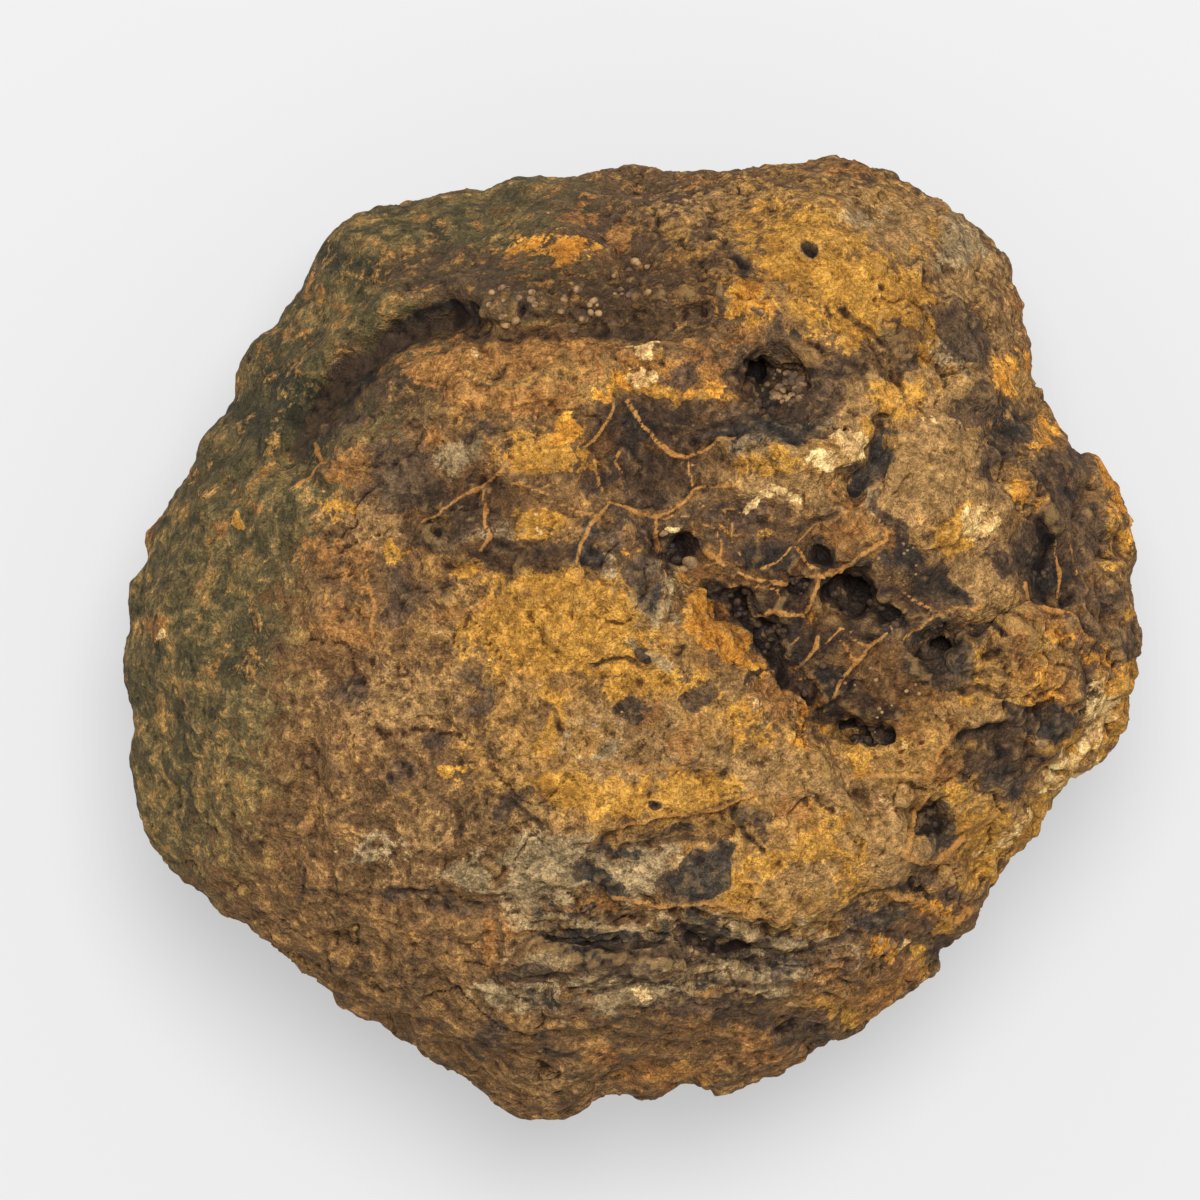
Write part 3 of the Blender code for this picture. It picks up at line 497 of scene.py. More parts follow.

# The ground under the stains, in the same form: the dark side of the stone, which is tinged green, the
# browner side above the face, ground that is more golden all over, and ground that is duskier, whose
# patches in the groove, the crater and other hollows are painted shade.
GROUNDS = {
    "shade_side": (
        (150, 620, 120, 260, 0, 1.2), (230, 480, 110, 150, 30, 1.2), (330, 330, 120, 110, 45, 1.2),
        (440, 250, 160, 60, 15, 1.1), (540, 200, 90, 34, 5, 0.9),
    ),
    "deep_green": (
        (352, 264, 34, 20, 10, 1.1), (300, 400, 30, 60, -35, 1.1), (310, 450, 14, 34, -20, 1.0),
        (250, 410, 44, 22, 20, 0.9), (250, 640, 34, 40, 0, 0.7), (215, 480, 40, 44, 40, 0.6),
        (445, 232, 14, 24, -10, 0.8), (265, 430, 34, 34, 0, 0.9), (240, 670, 40, 20, 0, 0.8),
    ),
    "brown_side": (
        (700, 220, 150, 50, 0, 1.1), (860, 190, 70, 30, -10, 0.9), (600, 300, 150, 26, 0, 1.0),
        (460, 280, 90, 30, 10, 1.0), (380, 380, 60, 30, 40, 0.9), (680, 300, 90, 40, 0, 0.9),
    ),
    "dusky": (
        (648, 446, 86, 46, 0, 1.0), (790, 600, 110, 76, 0, 1.0), (870, 690, 80, 46, 0, 0.9),
        (780, 385, 46, 44, 0, 0.8), (345, 392, 52, 22, -45, 1.2), (430, 330, 66, 17, -12, 1.2),
        (470, 505, 90, 60, 0, 0.7), (1045, 560, 30, 56, 0, 1.0), (990, 430, 60, 50, 0, 0.4),
        (930, 330, 50, 50, 0, 0.6), (640, 280, 190, 40, 0, 0.7), (1000, 750, 60, 34, -15, 0.8),
        (520, 562, 80, 20, 0, 0.9), (920, 580, 50, 40, 0, 0.7),
    ),
    "golden": (
        (560, 630, 120, 80, 0, 0.9), (650, 760, 150, 80, 0, 1.0), (880, 800, 140, 80, -20, 1.2),
        (950, 440, 90, 110, 20, 0.8), (830, 250, 130, 80, 0, 0.7), (540, 380, 130, 40, 5, 0.6),
        (780, 880, 120, 50, 0, 0.9), (1010, 670, 70, 90, 0, 0.7), (840, 470, 80, 40, 0, 0.6),
        (1060, 760, 60, 40, -30, 0.9),
    ),
}

# Round nodules in the hollows, and loose pale crumbs, in px: middle, spread, how many, radius.
NODULES = (
    (846, 596, 26, 4, 5.0), (742, 604, 14, 9, 4.0), (770, 634, 18, 16, 4.2), (640, 655, 11, 6, 3.6),
    (676, 558, 16, 10, 3.8), (866, 736, 14, 8, 3.8), (936, 832, 17, 8, 4.0), (800, 588, 10, 6, 3.4),
    (888, 618, 12, 7, 3.8), (768, 404, 14, 8, 3.2), (820, 680, 22, 8, 3.2), (1041, 566, 14, 6, 3.4),
    (792, 1032, 10, 4, 3.4),
)
CRUMBS = (
    (786, 388, 18, 46, 3.6), (663, 533, 0, 1, 5.5), (690, 565, 0, 1, 6.0), (684, 573, 4, 2, 4.0),
    (512, 308, 26, 14, 3.4), (575, 304, 30, 12, 3.2), (630, 282, 24, 10, 3.0), (479, 358, 0, 1, 3.4),
    (1042, 745, 3, 2, 6.0), (905, 560, 26, 14, 1.9), (772, 706, 34, 14, 1.8), (760, 300, 14, 5, 3.5),
    (640, 700, 50, 12, 1.6), (880, 700, 40, 14, 1.8), (830, 800, 60, 12, 1.7), (700, 470, 60, 10, 1.5),
    (886, 944, 8, 4, 4.5), (460, 690, 60, 8, 1.5),
)

# Each stain: its deep and pale tones, where it begins and is full, and how much it hides
STAIN_TONES = (
    ("tan", (120, 90, 52), (152, 116, 70), 0.3, 0.6, 0.9),
    ("ochre", (144, 99, 36), (180, 131, 52), 0.38, 0.55, 0.95),
    ("rust", (106, 69, 33), (152, 104, 53), 0.35, 0.65, 0.85),
    ("orange", (160, 101, 32), (208, 145, 52), 0.35, 0.55, 0.95),
    ("grey", (104, 87, 60), (158, 134, 96), 0.35, 0.6, 0.88),
    ("dark", (46, 35, 28), (86, 66, 47), 0.38, 0.56, 0.92),
    ("slate", (36, 32, 28), (62, 54, 45), 0.4, 0.6, 0.96),
    ("cream", (168, 126, 68), (226, 190, 130), 0.4, 0.7, 0.9),
)
MARK_TONES = (
    ("vein", (132, 84, 38), (182, 126, 60), 0.45, 0.9, 0.85),
    # The cracks' dark tone is painted shade in them.
    ("crack", (48, 36, 26), (76, 56, 38), 0.6, 1.0, 0.7),
    ("pit", (30, 22, 17), (62, 46, 33), 0.4, 0.7, 0.96),
)

# Soft steps and chance lumps


def smooth_step(values, low, high):
    """0 below low, 1 above high, and a soft rise between them."""
    share = np.clip((values - low) / (high - low), 0, 1)
    return share * share * (3 - 2 * share)


def lattice(seed):
    """A repeating block of chance values between -1 and 1."""
    return np.random.default_rng(seed).uniform(-1, 1, (LATTICE, LATTICE, LATTICE))


def cloud(points, size_mm, seed):
    """Soft chance lumps of one size, about -1 to 1, the same on every run."""
    block = lattice(seed)
    turned = points @ TURNS[seed % len(TURNS)] / (size_mm * MM) + 0.37 * seed
    corner = np.floor(turned).astype(int)
    share = turned - corner
    share = share * share * (3 - 2 * share)
    total = np.zeros(len(points))
    for step in np.ndindex(2, 2, 2):
        place = (corner + step) % LATTICE
        weight = np.prod(np.where(step, share, 1 - share), axis=1)
        total += weight * block[place[:, 0], place[:, 1], place[:, 2]]
    return total * 1.5


def crumbs(points, size_mm, seed):
    """Close-set domes of one size, 1 on top and about 0 between them, with a chance value for each dome."""
    offsets = (lattice(seed), lattice(seed + 1), lattice(seed + 2))
    turned = points @ TURNS[seed % len(TURNS)] / (size_mm * MM) + 0.53 * seed
    corner = np.floor(turned).astype(int)
    nearest = np.full(len(points), 9.0)
    chance = np.zeros(len(points))
    for step in np.ndindex(3, 3, 3):
        cell = corner + step - 1
        wrapped = cell % LATTICE
        index = (wrapped[:, 0], wrapped[:, 1], wrapped[:, 2])
        middle = cell + 0.5 + 0.42 * np.stack([block[index] for block in offsets], axis=1)
        away = ((turned - middle) ** 2).sum(axis=1)
        closer = away < nearest
        nearest = np.where(closer, away, nearest)
        chance = np.where(closer, offsets[0][index], chance)
    return np.clip(1 - nearest, 0, 1), chance


# Marks on the face

def px_size(height):
    """How many metres one px spans at a height."""
    return SENSOR_MM / LENS_MM / PICTURE_PX * (CAMERA_PLACE[2] - height)


def on_picture(points):
    """Where points on the stone show in the picture, in px across and down."""
    px = px_size(points[:, 2])
    across = PICTURE_PX / 2 + (points[:, 0] - CAMERA_PLACE[0]) / px
    down = PICTURE_PX / 2 - (points[:, 1] - CAMERA_PLACE[1]) / px
    return np.stack([across, down], axis=1)


def from_oval(seen, mark):
    """How far points lie from the middle of an oval, 1 on its edge."""
    turn = math.radians(mark[4])
    across = seen[:, 0] - mark[0]
    down = seen[:, 1] - mark[1]
    along = (across * math.cos(turn) + down * math.sin(turn)) / mark[2]
    beside = (down * math.cos(turn) - across * math.sin(turn)) / mark[3]
    return np.hypot(along, beside)


def from_line(seen, corners, half_width):
    """How far points lie from a line through corners, 1 at half its width."""
    nearest = np.full(len(seen), 1e9)
    for start, end in zip(corners[:-1], corners[1:]):
        run = end - start
        share = np.clip((seen - start) @ run / (run @ run), 0, 1)
        nearest = np.minimum(nearest, np.hypot(*(seen - start - share[:, None] * run).T))
    return nearest / half_width


def inside(seen, low, high):
    """Which points lie in an upright box of the picture."""
    return np.flatnonzero(((seen > low) & (seen < high)).all(axis=1))


def over_ovals(seen, marks):
    """Each oval, the points near it, and how far they lie from its middle, 1 on its edge."""
    for mark in marks:
        middle = np.array(mark[:2], float)
        margin = REACH * max(mark[2:4])
        near = inside(seen, middle - margin, middle + margin)
        yield mark, near, from_oval(seen[near], mark)


def over_lines(seen, marks, reach=REACH):
    """Each line, the points within its reach, and how far they lie from it, 1 at half its width."""
    for mark in marks:
        corners = np.array(mark[2], float)
        margin = reach * mark[0]
        near = inside(seen, corners.min(axis=0) - margin, corners.max(axis=0) + margin)
        yield mark, near, from_line(seen[near], corners, mark[0])


def dome(away):
    """1 in the middle, falling softly to 0 a little past the edge."""
    return 1 - smooth_step(away, 0.1, 1.15)


def spread(seen, ovals, lines=()):
    """The strength of a stain: 0.5 or more inside its marks, and 0 well outside them."""
    strength = np.zeros(len(seen))
    for mark, near, away in over_ovals(seen, ovals):
        strength[near] = np.maximum(strength[near], mark[5] * np.clip(REACH - away, 0, 1))
    for mark, near, away in over_lines(seen, lines):
        strength[near] = np.maximum(strength[near], mark[1] * np.clip(REACH - away, 0, 1))
    return strength


def line_strength(seen, lines):
    """1.5 along every line, 0.5 at its edge and below 0 beyond, so that thin lines still show."""
    strength = np.full(len(seen), -2.0)
    for _, near, away in over_lines(seen, lines, LINE_REACH):
        strength[near] = np.maximum(strength[near], REACH - away)
    return strength


def face_relief(points, seen, strayed):
    """Height of the listed marks, in mm: fine lines where seen, broad forms where strayed."""
    broken = 0.25 + 0.75 * smooth_step(cloud(points, size_mm=3.0, seed=21), -0.5, 0.4)
    height = np.zeros(len(seen))
    for mark, near, away in over_lines(strayed, SWELLS):
        height[near] += mark[1] * dome(away)
    for mark, near, away in over_ovals(strayed, PITS):
        height[near] -= mark[5] * dome(away)
    for mark, near, away in over_ovals(strayed, KNOBS):
        height[near] += mark[5] * dome(away)
    for mark, near, away in over_lines(seen, VEINS):
        height[near] += mark[1] * dome(away)
    for mark, near, away in over_lines(seen, CRACKS):
        height[near] -= mark[1] * dome(away) * broken[near]
    return height


def scabs(points, size_mm, seed):
    """Flat scabs of crust with sharp broken edges, 1 on top and 0 between."""
    broken = cloud(points, size_mm, seed) + 0.35 * cloud(points, 0.3 * size_mm, seed + 1)
    return smooth_step(broken, 0.05, 0.25)


def creases(points, size_mm, seed):
    """Thin winding hollows, 1 along their middle."""
    winding = cloud(points, size_mm, seed) + 0.3 * cloud(points, 0.35 * size_mm, seed + 1)
    return smooth_step(1 - 7 * np.abs(winding), 0.0, 1.0)


def folds(points, seen):
    """Rounded wrinkles with sharp hollows between them, in mm."""
    coarse = np.abs(cloud(points, size_mm=4.4, seed=51))
    fine = np.abs(cloud(points, size_mm=2.2, seed=52))
    return FOLD_MM * (coarse + 0.5 * fine - 0.35) * smooth_step(spread(seen, FOLDED), 0.3, 0.8)


def leaves(points, seen):
    """Thin level leaves of crust that jut over one another, in mm."""
    level = seen[:, 1] / LEAF_PX + 0.7 * cloud(points, size_mm=14.0, seed=61)
    level += 0.35 * cloud(points, size_mm=4.0, seed=62)
    return LEAF_MM * (level - np.floor(level) - 0.5) * smooth_step(spread(seen, LAYERED), 0.3, 0.7)


def grain_relief(points, seen, front):
    """Height of the crust's own grain, in mm: lumps, scabs, creases and crumbs."""
    coarse, chance = crumbs(points, size_mm=4.4, seed=3)
    fine, _ = crumbs(points, size_mm=2.1, seed=7)
    pebbly = smooth_step(spread(seen, PEBBLY), 0.3, 0.7) * front
    rough = 1 - 0.6 * smooth_step(spread(seen, GROUNDS["shade_side"]), 0.3, 0.8) * front
    torn = smooth_step(cloud(points, size_mm=11.0, seed=45), -0.4, 0.4)
    height = 0.55 * cloud(points, size_mm=9.0, seed=1)
    height += 0.45 * rough * cloud(points, size_mm=4.0, seed=2)
    height += 0.5 * rough * scabs(points, size_mm=7.0, seed=31)
    height += 0.35 * rough * scabs(points, size_mm=3.6, seed=35)
    height -= 0.7 * rough * torn * creases(points, size_mm=7.0, seed=41)
    height += (0.3 * rough + 0.8 * pebbly) * (coarse - 0.5) * (0.7 + 0.6 * chance)
    height += (0.25 * rough + 0.3 * pebbly) * (fine - 0.5)
    height += 0.2 * cloud(points, size_mm=1.3, seed=5)
    height += front * (folds(points, seen) + leaves(points, seen))
    return height


# The crust's mesh

def fine_copy(node):
    """(points, normals, faces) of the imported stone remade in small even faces, its flats rounded off."""
    block = bpy.data.objects.new("crust_block", node.data.copy())
    bpy.context.scene.collection.objects.link(block)
    bpy.context.view_layer.objects.active = block
    remesh = block.modifiers.new("small_faces", "REMESH")
    remesh.mode = "VOXEL"
    remesh.voxel_size = CRUST_FACE
    soften = block.modifiers.new("rounded", "SMOOTH")
    soften.factor = 0.5
    soften.iterations = SMOOTHING_ROUNDS
    graph = bpy.context.evaluated_depsgraph_get()
    mesh = bpy.data.meshes.new_from_object(block.evaluated_get(graph))
    bpy.data.objects.remove(block)
    points = np.zeros(len(mesh.vertices) * 3)
    mesh.vertices.foreach_get("co", points)
    normals = np.zeros(len(mesh.vertices) * 3)
    mesh.vertices.foreach_get("normal", normals)
    mesh.calc_loop_triangles()
    faces = np.zeros(len(mesh.loop_triangles) * 3, int)
    mesh.loop_triangles.foreach_get("vertices", faces)
    bpy.data.meshes.remove(mesh)
    return points.reshape(-1, 3), normals.reshape(-1, 3), faces.reshape(-1, 3)


def vertex_normals(points, faces):
    """Which way the surface faces at each point."""
    corners = points[faces]
    tilt = np.cross(corners[:, 1] - corners[:, 0], corners[:, 2] - corners[:, 0])
    total = np.zeros_like(points)
    for axis in range(3):
        for corner in range(3):
            total[:, axis] += np.bincount(faces[:, corner], tilt[:, axis], len(points))
    return total / np.maximum(np.linalg.norm(total, axis=1, keepdims=True), 1e-12)


def eased(values, faces, rounds):
    """Values on the mesh, each evened out with its neighbours."""
    starts = faces.ravel()
    ends = faces[:, [1, 2, 0]].ravel()
    count = np.bincount(starts, minlength=len(values))[:, None]
    for _ in range(rounds):
        sums = [np.bincount(starts, column[ends], len(column)) for column in values.T]
        values = 0.5 * values + 0.5 * np.stack(sums, axis=1) / count
    return values


def cut_out(name, points, normals, faces, keep, fields):
    """One piece of the crust: the kept faces, with the whole crust's normals and stain strengths."""
    used, index = np.unique(faces[keep], return_inverse=True)
    mesh = bpy.data.meshes.new(name)
    mesh.from_pydata(points[used], [], index.reshape(-1, 3))
    mesh.update()
    for field, values in fields.items():
        layer = mesh.attributes.new(field, "FLOAT", "POINT")
        layer.data.foreach_set("value", values[used].astype(np.float32))
    mesh.shade_smooth()
    mesh.normals_split_custom_set_from_vertices(normals[used])
    piece = bpy.data.objects.new(name, mesh)
    bpy.context.scene.collection.objects.link(piece)
    return piece


def build_crust(node):
    """The whole crust in three pieces that meet in rings round the stone, and its points."""
    points, normals, faces = fine_copy(node)
    front = smooth_step(points[:, 2], *FACE_BEGINS)
    seen = on_picture(points)
    wander = np.stack([cloud(points, size_mm=5.0, seed=seed) for seed in (11, 12)], axis=1)
    wander += 0.6 * np.stack([cloud(points, size_mm=2.2, seed=seed) for seed in (13, 14)], axis=1)
    drawn = seen + LINE_WANDER_PX * wander
    stained = seen + STAIN_WANDER_PX * wander
    height = front * face_relief(points, drawn, stained) + grain_relief(points, seen, front)
    points = points + normals * height[:, None] * MM
    points[:, 2] = np.maximum(points[:, 2], 0)
    normals = vertex_normals(points, faces)
    fields = {name: front * spread(stained, STAINS[name], STREAKS.get(name, ())) for name in STAINS}
    fields["vein"] = front * line_strength(drawn, VEINS)
    fields["crack"] = front * line_strength(drawn, CRACKS)
    for name, marks in GROUNDS.items():
        fields[name] = front * spread(stained, marks)
    for name, rounds in DIPS:
        fields[name] = ((eased(points, faces, rounds) - points) * normals).sum(axis=1) / MM
    ring = np.searchsorted(SEAMS, points[faces][:, :, 2].mean(axis=1))
    pieces = [cut_out(name, points, normals, faces, ring == k, fields) for k, name in enumerate(PIECES)]
    return pieces, points


# Nodules and crumbs

def scattered(groups, seed):
    """Places and radii in px, thrown round the middle of each group."""
    chance = np.random.default_rng(seed)
    places = []
    for across, down, spread_px, count, radius in groups:
        for _ in range(count):
            turn = chance.uniform(0, 2 * math.pi)
            out = spread_px * math.sqrt(chance.uniform())
            size = radius * chance.uniform(*BALL_SIZES)
            places.append((across + out * math.cos(turn), down + out * math.sin(turn), size))
    return places


def ball():
    """(points, faces) of a plain ball of radius 1."""
    made = bmesh.new()
    bmesh.ops.create_icosphere(made, subdivisions=3, radius=1.0)
    points = np.array([vertex.co[:] for vertex in made.verts])
    faces = np.array([[vertex.index for vertex in face.verts] for face in made.faces])
    made.free()
    return points, faces


def build_balls(name, groups, crust_points, seed):
    """Lumpy balls as one mesh, each half sunk in the crust under its place in the picture."""
    seen = on_picture(crust_points)
    points, faces = ball()
    all_points = []
    all_faces = []
    for across, down, radius_px in scattered(groups, seed):
        place = np.array((across, down))
        under = inside(seen, place - SEAT_PX, place + SEAT_PX)
        if not len(under):
            continue
        seat = crust_points[under].mean(axis=0)
        radius = radius_px * px_size(seat[2])
        lumps = cloud(seat + points * radius, BALL_LUMP_MM, seed)
        lumpy = points * (1 + BALL_LUMPS * lumps)[:, None]
        all_faces.append(faces + len(points) * len(all_points))
        all_points.append(seat + lumpy * radius * BALL_SQUASH)
    mesh = bpy.data.meshes.new(name)
    mesh.from_pydata(np.concatenate(all_points), [], np.concatenate(all_faces))
    mesh.shade_smooth()
    piece = bpy.data.objects.new(name, mesh)
    bpy.context.scene.collection.objects.link(piece)
    return piece


# Finishes

def paint(red, green, blue):
    """A colour as seen, 0 to 255, in the shader's own linear scale."""
    shares = (np.array((red, green, blue)) / 255.0 + 0.055) / 1.055
    return (*(float(share) for share in shares ** 2.4), 1.0)


class Value:
    """A socket that takes part in sums."""

    def __init__(self, finish, socket):
        self.finish = finish
        self.socket = socket

    def _sum(self, operation, first, second):
        return self.finish.node("ShaderNodeMath", {"operation": operation}, {0: first, 1: second})

    def __add__(self, other):
        return self._sum("ADD", self, other)

    def __radd__(self, other):
        return self._sum("ADD", other, self)

    def __sub__(self, other):
        return self._sum("SUBTRACT", self, other)

    def __rsub__(self, other):
        return self._sum("SUBTRACT", other, self)

    def __mul__(self, other):
        return self._sum("MULTIPLY", self, other)

    def __rmul__(self, other):
        return self._sum("MULTIPLY", other, self)


class Finish:
    """A material under construction."""

    def __init__(self, name):
        self.material = bpy.data.materials.new(name)
        self.material.use_nodes = True
        self.tree = self.material.node_tree
        self.shader = self.tree.nodes["Principled BSDF"]
        self.place = self.node("ShaderNodeTexCoord", {}, {}, "Object")

    def node(self, kind, settings, inputs, output=0):
        """A node with its settings made first, then its sockets given a value or a link."""
        made = self.tree.nodes.new(kind)
        for setting, value in settings.items():
            setattr(made, setting, value)
        for socket, value in inputs.items():
            if isinstance(value, Value):
                self.tree.links.new(value.socket, made.inputs[socket])
            else:
                made.inputs[socket].default_value = value
        return Value(self, made.outputs[output])

    def field(self, name):
        """A stain's strength, as the mesh holds it."""
        return self.node("ShaderNodeAttribute", {"attribute_name": name}, {}, "Fac")

    def moved(self, shift):
        """The place on the stone, moved the same way along each axis."""
        inputs = {0: self.place, 1: (shift, shift, shift)}
        return self.node("ShaderNodeVectorMath", {"operation": "ADD"}, inputs)

    def noise(self, size_mm, detail, roughness, distortion, shift):
        """Chance mottling of one size, about 0 to 1 with a middle of 0.5."""
        inputs = {"Vector": self.moved(shift), "Scale": 1000.0 / size_mm, "Detail": detail}
        inputs.update({"Roughness": roughness, "Distortion": distortion})
        return self.node("ShaderNodeTexNoise", {}, inputs)

    def grains(self, size_mm, stray_mm, shift):
        """Ragged grains of one size, each with a chance value of its own."""
        wobble = {"Vector": self.moved(shift), "Scale": 1000.0 / size_mm, "Detail": 3.0}
        stray = self.node("ShaderNodeTexNoise", {}, wobble, "Color")
        settings = {"operation": "MULTIPLY_ADD"}
        reach = (stray_mm * 4 * MM,) * 3
        strayed = self.node("ShaderNodeVectorMath", settings, {0: stray, 1: reach, 2: self.moved(shift)})
        inputs = {"Vector": strayed, "Scale": 1000.0 / size_mm}
        return self.node("ShaderNodeTexVoronoi", {}, inputs, "Color")

    def rise(self, value, low, high):
        """0 below low, 1 above high, soft between."""
        inputs = {"Value": value, "From Min": low, "From Max": high}
        return self.node("ShaderNodeMapRange", {"interpolation_type": "SMOOTHSTEP"}, inputs)

    def blend(self, share, under, over, mode="MIX"):
        """Over laid on under by a share."""
        settings = {"data_type": "RGBA", "blend_type": mode}
        inputs = {MIX_SHARE: share, MIX_UNDER: under, MIX_OVER: over}
        return self.node("ShaderNodeMix", settings, inputs, MIX_RESULT)

    def feed(self, socket, value):
        """Links a value to the shader, or sets a plain one on it."""
        if isinstance(value, Value):
            self.tree.links.new(value.socket, self.shader.inputs[socket])
        else:
            self.shader.inputs[socket].default_value = value

    def bump(self, height_mm):
        """Turns a height into the shader's normal."""
        inputs = {"Strength": 1.0, "Distance": MM, "Height": height_mm}
        self.feed("Normal", self.node("ShaderNodeBump", {}, inputs))


class Crust(Finish):
    """The crust's own material, with the mottling that its layers share."""

    def __init__(self):
        super().__init__("rusty_crust_and_painted_light")
        self.broad = self.noise(size_mm=13.0, detail=3.0, roughness=0.6, distortion=0.6, shift=0.11)
        self.mottle = self.noise(size_mm=5.0, detail=4.0, roughness=0.66, distortion=0.6, shift=0.23)
        self.swirl = self.noise(size_mm=2.2, detail=3.0, roughness=0.68, distortion=0.35, shift=0.31)
        self.curd = self.noise(size_mm=0.9, detail=3.0, roughness=0.72, distortion=0.5, shift=0.47)
        self.grit = self.noise(size_mm=0.34, detail=2.0, roughness=0.7, distortion=0.3, shift=0.97)
        self.shades = self.noise(size_mm=6.0, detail=4.0, roughness=0.68, distortion=0.5, shift=0.59)
        flake = self.noise(size_mm=4.0, detail=4.0, roughness=0.62, distortion=1.0, shift=0.71)
        self.flakes = 0.5 * self.rise(flake, 0.44, 0.455) + 0.5 * self.rise(flake, 0.535, 0.55)
        self.specks = self.grains(size_mm=1.5, stray_mm=0.6, shift=0.83)
        self.ragged = self.rise(0.5 * self.mottle + 0.35 * self.swirl + 0.15 * self.curd, 0.4, 0.6)
        self.light = self.rise(0.55 * self.shades + 0.25 * self.swirl + 0.2 * self.curd, 0.37, 0.63)
        self.shaded = self.patch("shade_side", 0.32, 0.6)

    def patch(self, name, low, high, rag=0.8):
        """How far a stain shows, with ragged edges."""
        return self.rise(self.field(name) + (self.ragged - 0.5) * rag, low, high)

    def tone(self, deep, pale):
        """A colour mottled from a deep tone to a pale one."""
        return self.blend(self.light, paint(*deep), paint(*pale))

    def ground(self):
        """Mottled brown, olive on the dark side and golden on parts of the face."""
        mottled = self.rise(self.mottle, 0.4, 0.6)
        colour = self.blend(mottled, paint(78, 57, 34), paint(114, 83, 50))
        colour = self.blend(self.rise(self.broad, 0.45, 0.65) * 0.6, colour, paint(104, 71, 38))
        colour = self.blend(self.light * 0.4, colour, paint(140, 103, 60))
        olive = self.blend(mottled, paint(70, 61, 37), paint(112, 93, 55))
        colour = self.blend(self.shaded, colour, olive)
        colour = self.blend(self.patch("brown_side", 0.35, 0.65) * 0.85, colour, paint(74, 55, 37))
        colour = self.blend(self.patch("deep_green", 0.4, 0.85) * 0.9, colour, paint(44, 43, 30))
        gold = self.tone((130, 93, 45), (160, 119, 60))
        return self.blend(self.patch("golden", 0.05, 0.65) * 0.85, colour, gold)

    def stained(self, colour):
        """Stains over a colour, thinner where the crust is worn."""
        worn = self.rise(0.5 * self.shades + 0.5 * self.mottle, 0.53, 0.6)
        for name, deep, pale, low, high, cover in STAIN_TONES:
            share = self.patch(name, low, high) * (cover - cover * 0.2 * worn)
            colour = self.blend(share, colour, self.tone(deep, pale))
        return colour

    def speckled(self, colour):
        """Grain of several sizes over a colour."""
        layers = (
            (0.16, self.rise(self.swirl, 0.3, 0.7)),
            (0.22, self.rise(self.curd, 0.36, 0.64)),
            (0.24, self.rise(self.grit, 0.38, 0.62)),
            (0.1, self.flakes),
            (0.15, self.rise(self.specks, 0.3, 0.7)),
        )
        for share, layer in layers:
            colour = self.blend(share, colour, layer, "OVERLAY")
        return colour

    def dusk_dirt_and_shade(self, colour):
        """Duskier ground in patches, partly painted shade, and dirt with painted shade in the gaps of the
        grain.
        """
        dusk = self.rise(self.field("dusky") + (self.ragged - 0.5) * 0.4, 0.2, 0.9)
        colour = self.blend(dusk * 0.6, colour, paint(146, 124, 102), "MULTIPLY")
        gaps = 1 - self.rise(0.4 * self.mottle + 0.3 * self.swirl + 0.3 * self.curd, 0.37, 0.41)
        return self.blend(gaps * 0.5, colour, paint(104, 74, 46), "MULTIPLY")

    def marked(self, colour):
        """Veins, cracks and pits over a colour."""
        for name, deep, pale, low, high, cover in MARK_TONES:
            share = self.patch(name, low, high, rag=0.5) * cover
            colour = self.blend(share, colour, self.tone(deep, pale))
        return colour

    def relief_highlight_and_shade(self, colour):
        """Painted highlight on what stands proud, and painted shade with some dirt in the hollows."""
        dip = self.field("dip") + (0.5 - self.curd) * 0.3
        painted_highlight = self.rise(0 - dip, 0.04, 0.34) * (0.25 - 0.17 * self.shaded)
        colour = self.blend(painted_highlight, colour, paint(190, 150, 90))
        colour = self.blend(self.rise(dip, 0.03, 0.3) * 0.75, colour, paint(104, 74, 46), "MULTIPLY")
        deep_dip = self.rise(self.field("deep_dip"), 0.2, 1.4) * 0.45
        return self.blend(deep_dip, colour, paint(116, 86, 56), "MULTIPLY")

    def relief(self):
        """Height of the finest relief, in mm."""
        coarse = 1.6 * self.mottle + 0.8 * self.swirl + 0.35 * self.curd
        return coarse + 0.4 * self.flakes + 0.3 * self.specks + 0.12 * self.grit


def crust_finish():
    """Rusty crust: ragged stains over mottled brown, dirt and painted shade in the hollows, painted
    highlight on what stands proud, a dull gloss in the pits.
    """
    crust = Crust()
    colour = crust.stained(crust.ground())
    colour = crust.marked(crust.dusk_dirt_and_shade(crust.speckled(colour)))
    crust.feed("Base Color", crust.relief_highlight_and_shade(colour))
    crust.feed("Roughness", 0.9 - 0.25 * crust.patch("pit", 0.45, 0.75))
    crust.feed("Specular IOR Level", 0.2)
    crust.bump(crust.relief())
    return crust.material


def nodule_finish():
    """Dark iron nodules with a faint gloss."""
    finish = Finish("dark_nodules")
    mottle = finish.noise(size_mm=2.4, detail=4.0, roughness=0.7, distortion=0.4, shift=0.13)
    grit = finish.noise(size_mm=0.5, detail=2.0, roughness=0.6, distortion=0.3, shift=0.37)
    colour = finish.blend(finish.rise(mottle, 0.4, 0.6), paint(32, 24, 18), paint(72, 52, 36))
    finish.feed("Base Color", finish.blend(0.3, colour, grit, "OVERLAY"))
    finish.feed("Roughness", 0.45 + 0.3 * mottle)
    finish.feed("Specular IOR Level", 0.25)
    finish.bump(0.5 * mottle + 0.25 * grit)
    return finish.material


def crumb_finish():
    """Pale crumbs of clay and quartz, dulled with rust."""
    finish = Finish("pale_crumbs")
    mottle = finish.noise(size_mm=3.4, detail=4.0, roughness=0.7, distortion=0.4, shift=0.19)
    grit = finish.noise(size_mm=0.6, detail=2.0, roughness=0.6, distortion=0.3, shift=0.43)
    colour = finish.blend(finish.rise(mottle, 0.38, 0.62), paint(74, 54, 34), paint(150, 116, 74))
    finish.feed("Base Color", finish.blend(0.4, colour, grit, "OVERLAY"))
    finish.feed("Roughness", 0.8)
    finish.bump(0.4 * mottle + 0.2 * grit)
    return finish.material


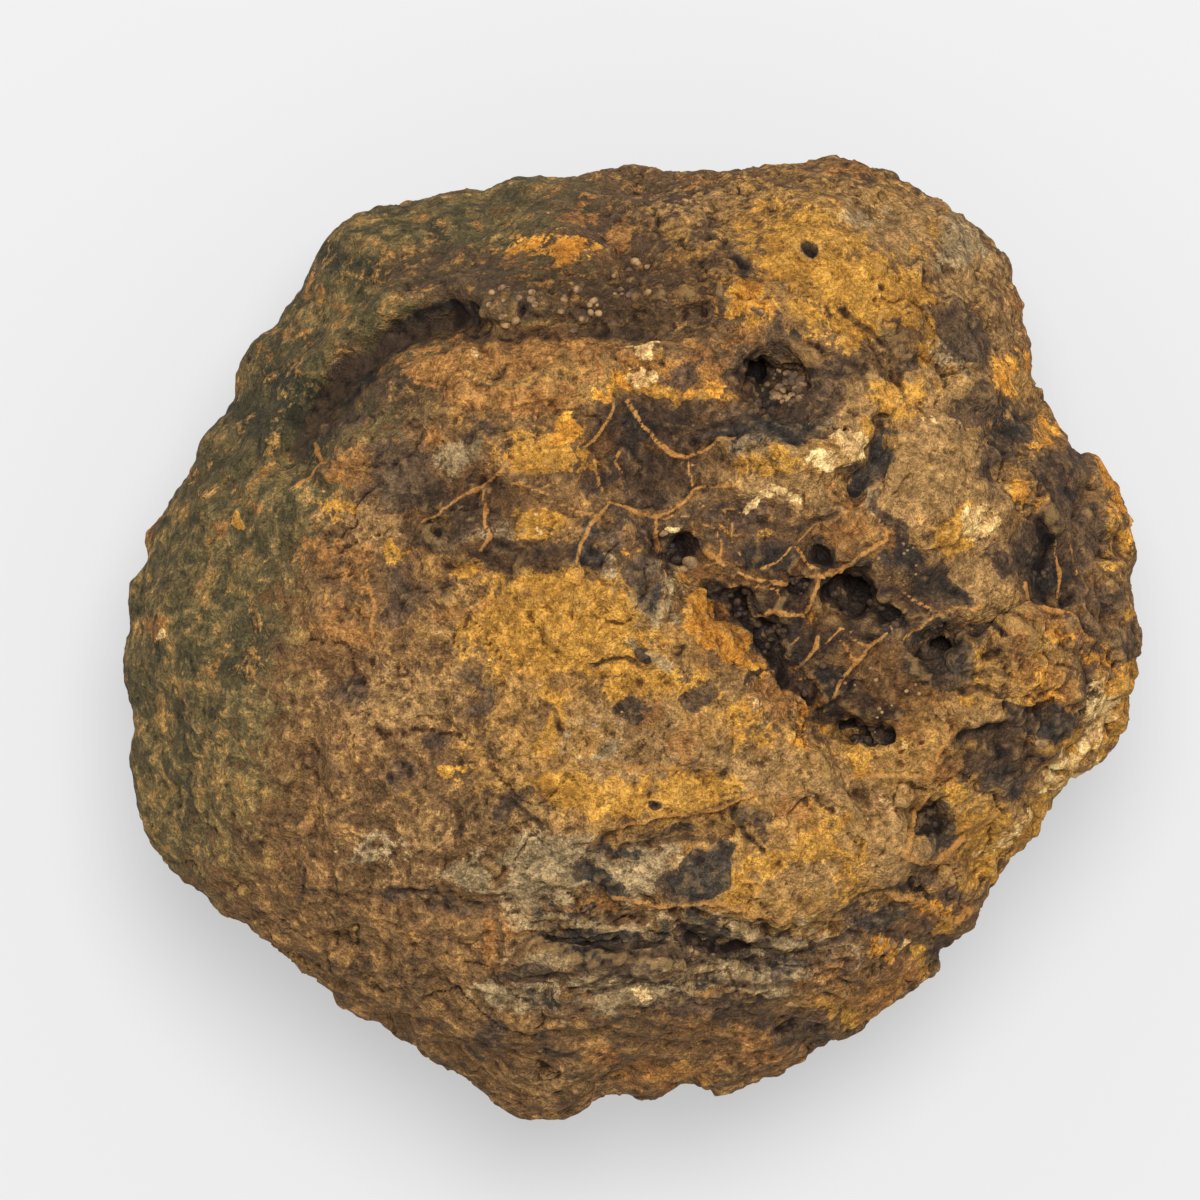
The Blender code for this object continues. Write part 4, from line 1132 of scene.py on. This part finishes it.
def floor_finish():
    """Plain pale table."""
    finish = Finish("pale_table")
    finish.feed("Base Color", paint(138, 138, 139))
    finish.feed("Roughness", 0.9)
    finish.feed("Emission Color", (1.0, 1.0, 1.0, 1.0))
    finish.feed("Emission Strength", 0.4)
    return finish.material


# Stage

def build_floor():
    """A wide pale table under the stone."""
    mesh = bpy.data.meshes.new("table_top")
    half = TABLE_REACH
    corners = [(-half, -half, 0), (half, -half, 0), (half, half, 0), (-half, half, 0)]
    mesh.from_pydata(corners, [], [(0, 1, 2, 3)])
    floor = bpy.data.objects.new("table_top", mesh)
    bpy.context.scene.collection.objects.link(floor)
    mesh.materials.append(floor_finish())
    floor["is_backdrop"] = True


def build_light():
    """One broad soft lamp overhead, towards the top edge, and even light all round."""
    lamp = bpy.data.lights.new("overhead", "AREA")
    lamp.shape = "DISK"
    lamp.size = LAMP_ACROSS
    lamp.energy = LAMP_WATTS
    holder = bpy.data.objects.new("overhead", lamp)
    holder.location = LAMP_PLACE
    holder.rotation_euler = Vector(LAMP_PLACE).to_track_quat("Z", "Y").to_euler()
    bpy.context.scene.collection.objects.link(holder)
    world = bpy.data.worlds.new("studio")
    world.use_nodes = True
    backdrop = world.node_tree.nodes["Background"]
    backdrop.inputs["Color"].default_value = (1.0, 1.0, 1.0, 1.0)
    backdrop.inputs["Strength"].default_value = ROOM_LIGHT
    bpy.context.scene.world = world
    bpy.context.scene.view_settings.view_transform = "Standard"


def build_camera():
    """Straight down on the face, as the picture has it."""
    lens = bpy.data.cameras.new("portrait")
    lens.lens = LENS_MM
    lens.sensor_width = SENSOR_MM
    camera = bpy.data.objects.new("portrait", lens)
    camera.location = CAMERA_PLACE
    bpy.context.scene.collection.objects.link(camera)
    bpy.context.scene.camera = camera


def write_sizes(packed_box, shown_box):
    """Puts both boxes' corners in a dict that is not used further."""
    boxes = {"cad": packed_box, "visual": shown_box}
    boxes = {name: [list(corner) for corner in box] for name, box in boxes.items()}


def main():
    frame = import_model()
    packed_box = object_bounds()
    build_camera()
    crust, points = build_crust(frame["nodes"]["geode"])
    rusty = crust_finish()
    for piece in crust:
        piece.data.materials.append(rusty)
        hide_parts("geode")
    face = points[points[:, 2] > SEAMS[0]]
    nodules = build_balls("geode_nodules", NODULES, face, NODULE_SEED)
    nodules.data.materials.append(nodule_finish())
    loose = build_balls("geode_crumbs", CRUMBS, face, CRUMB_SEED)
    loose.data.materials.append(crumb_finish())
    for piece in (*crust, nodules, loose):
        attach(piece, "root")
    build_floor()
    build_light()
    write_sizes(packed_box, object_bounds())


main()
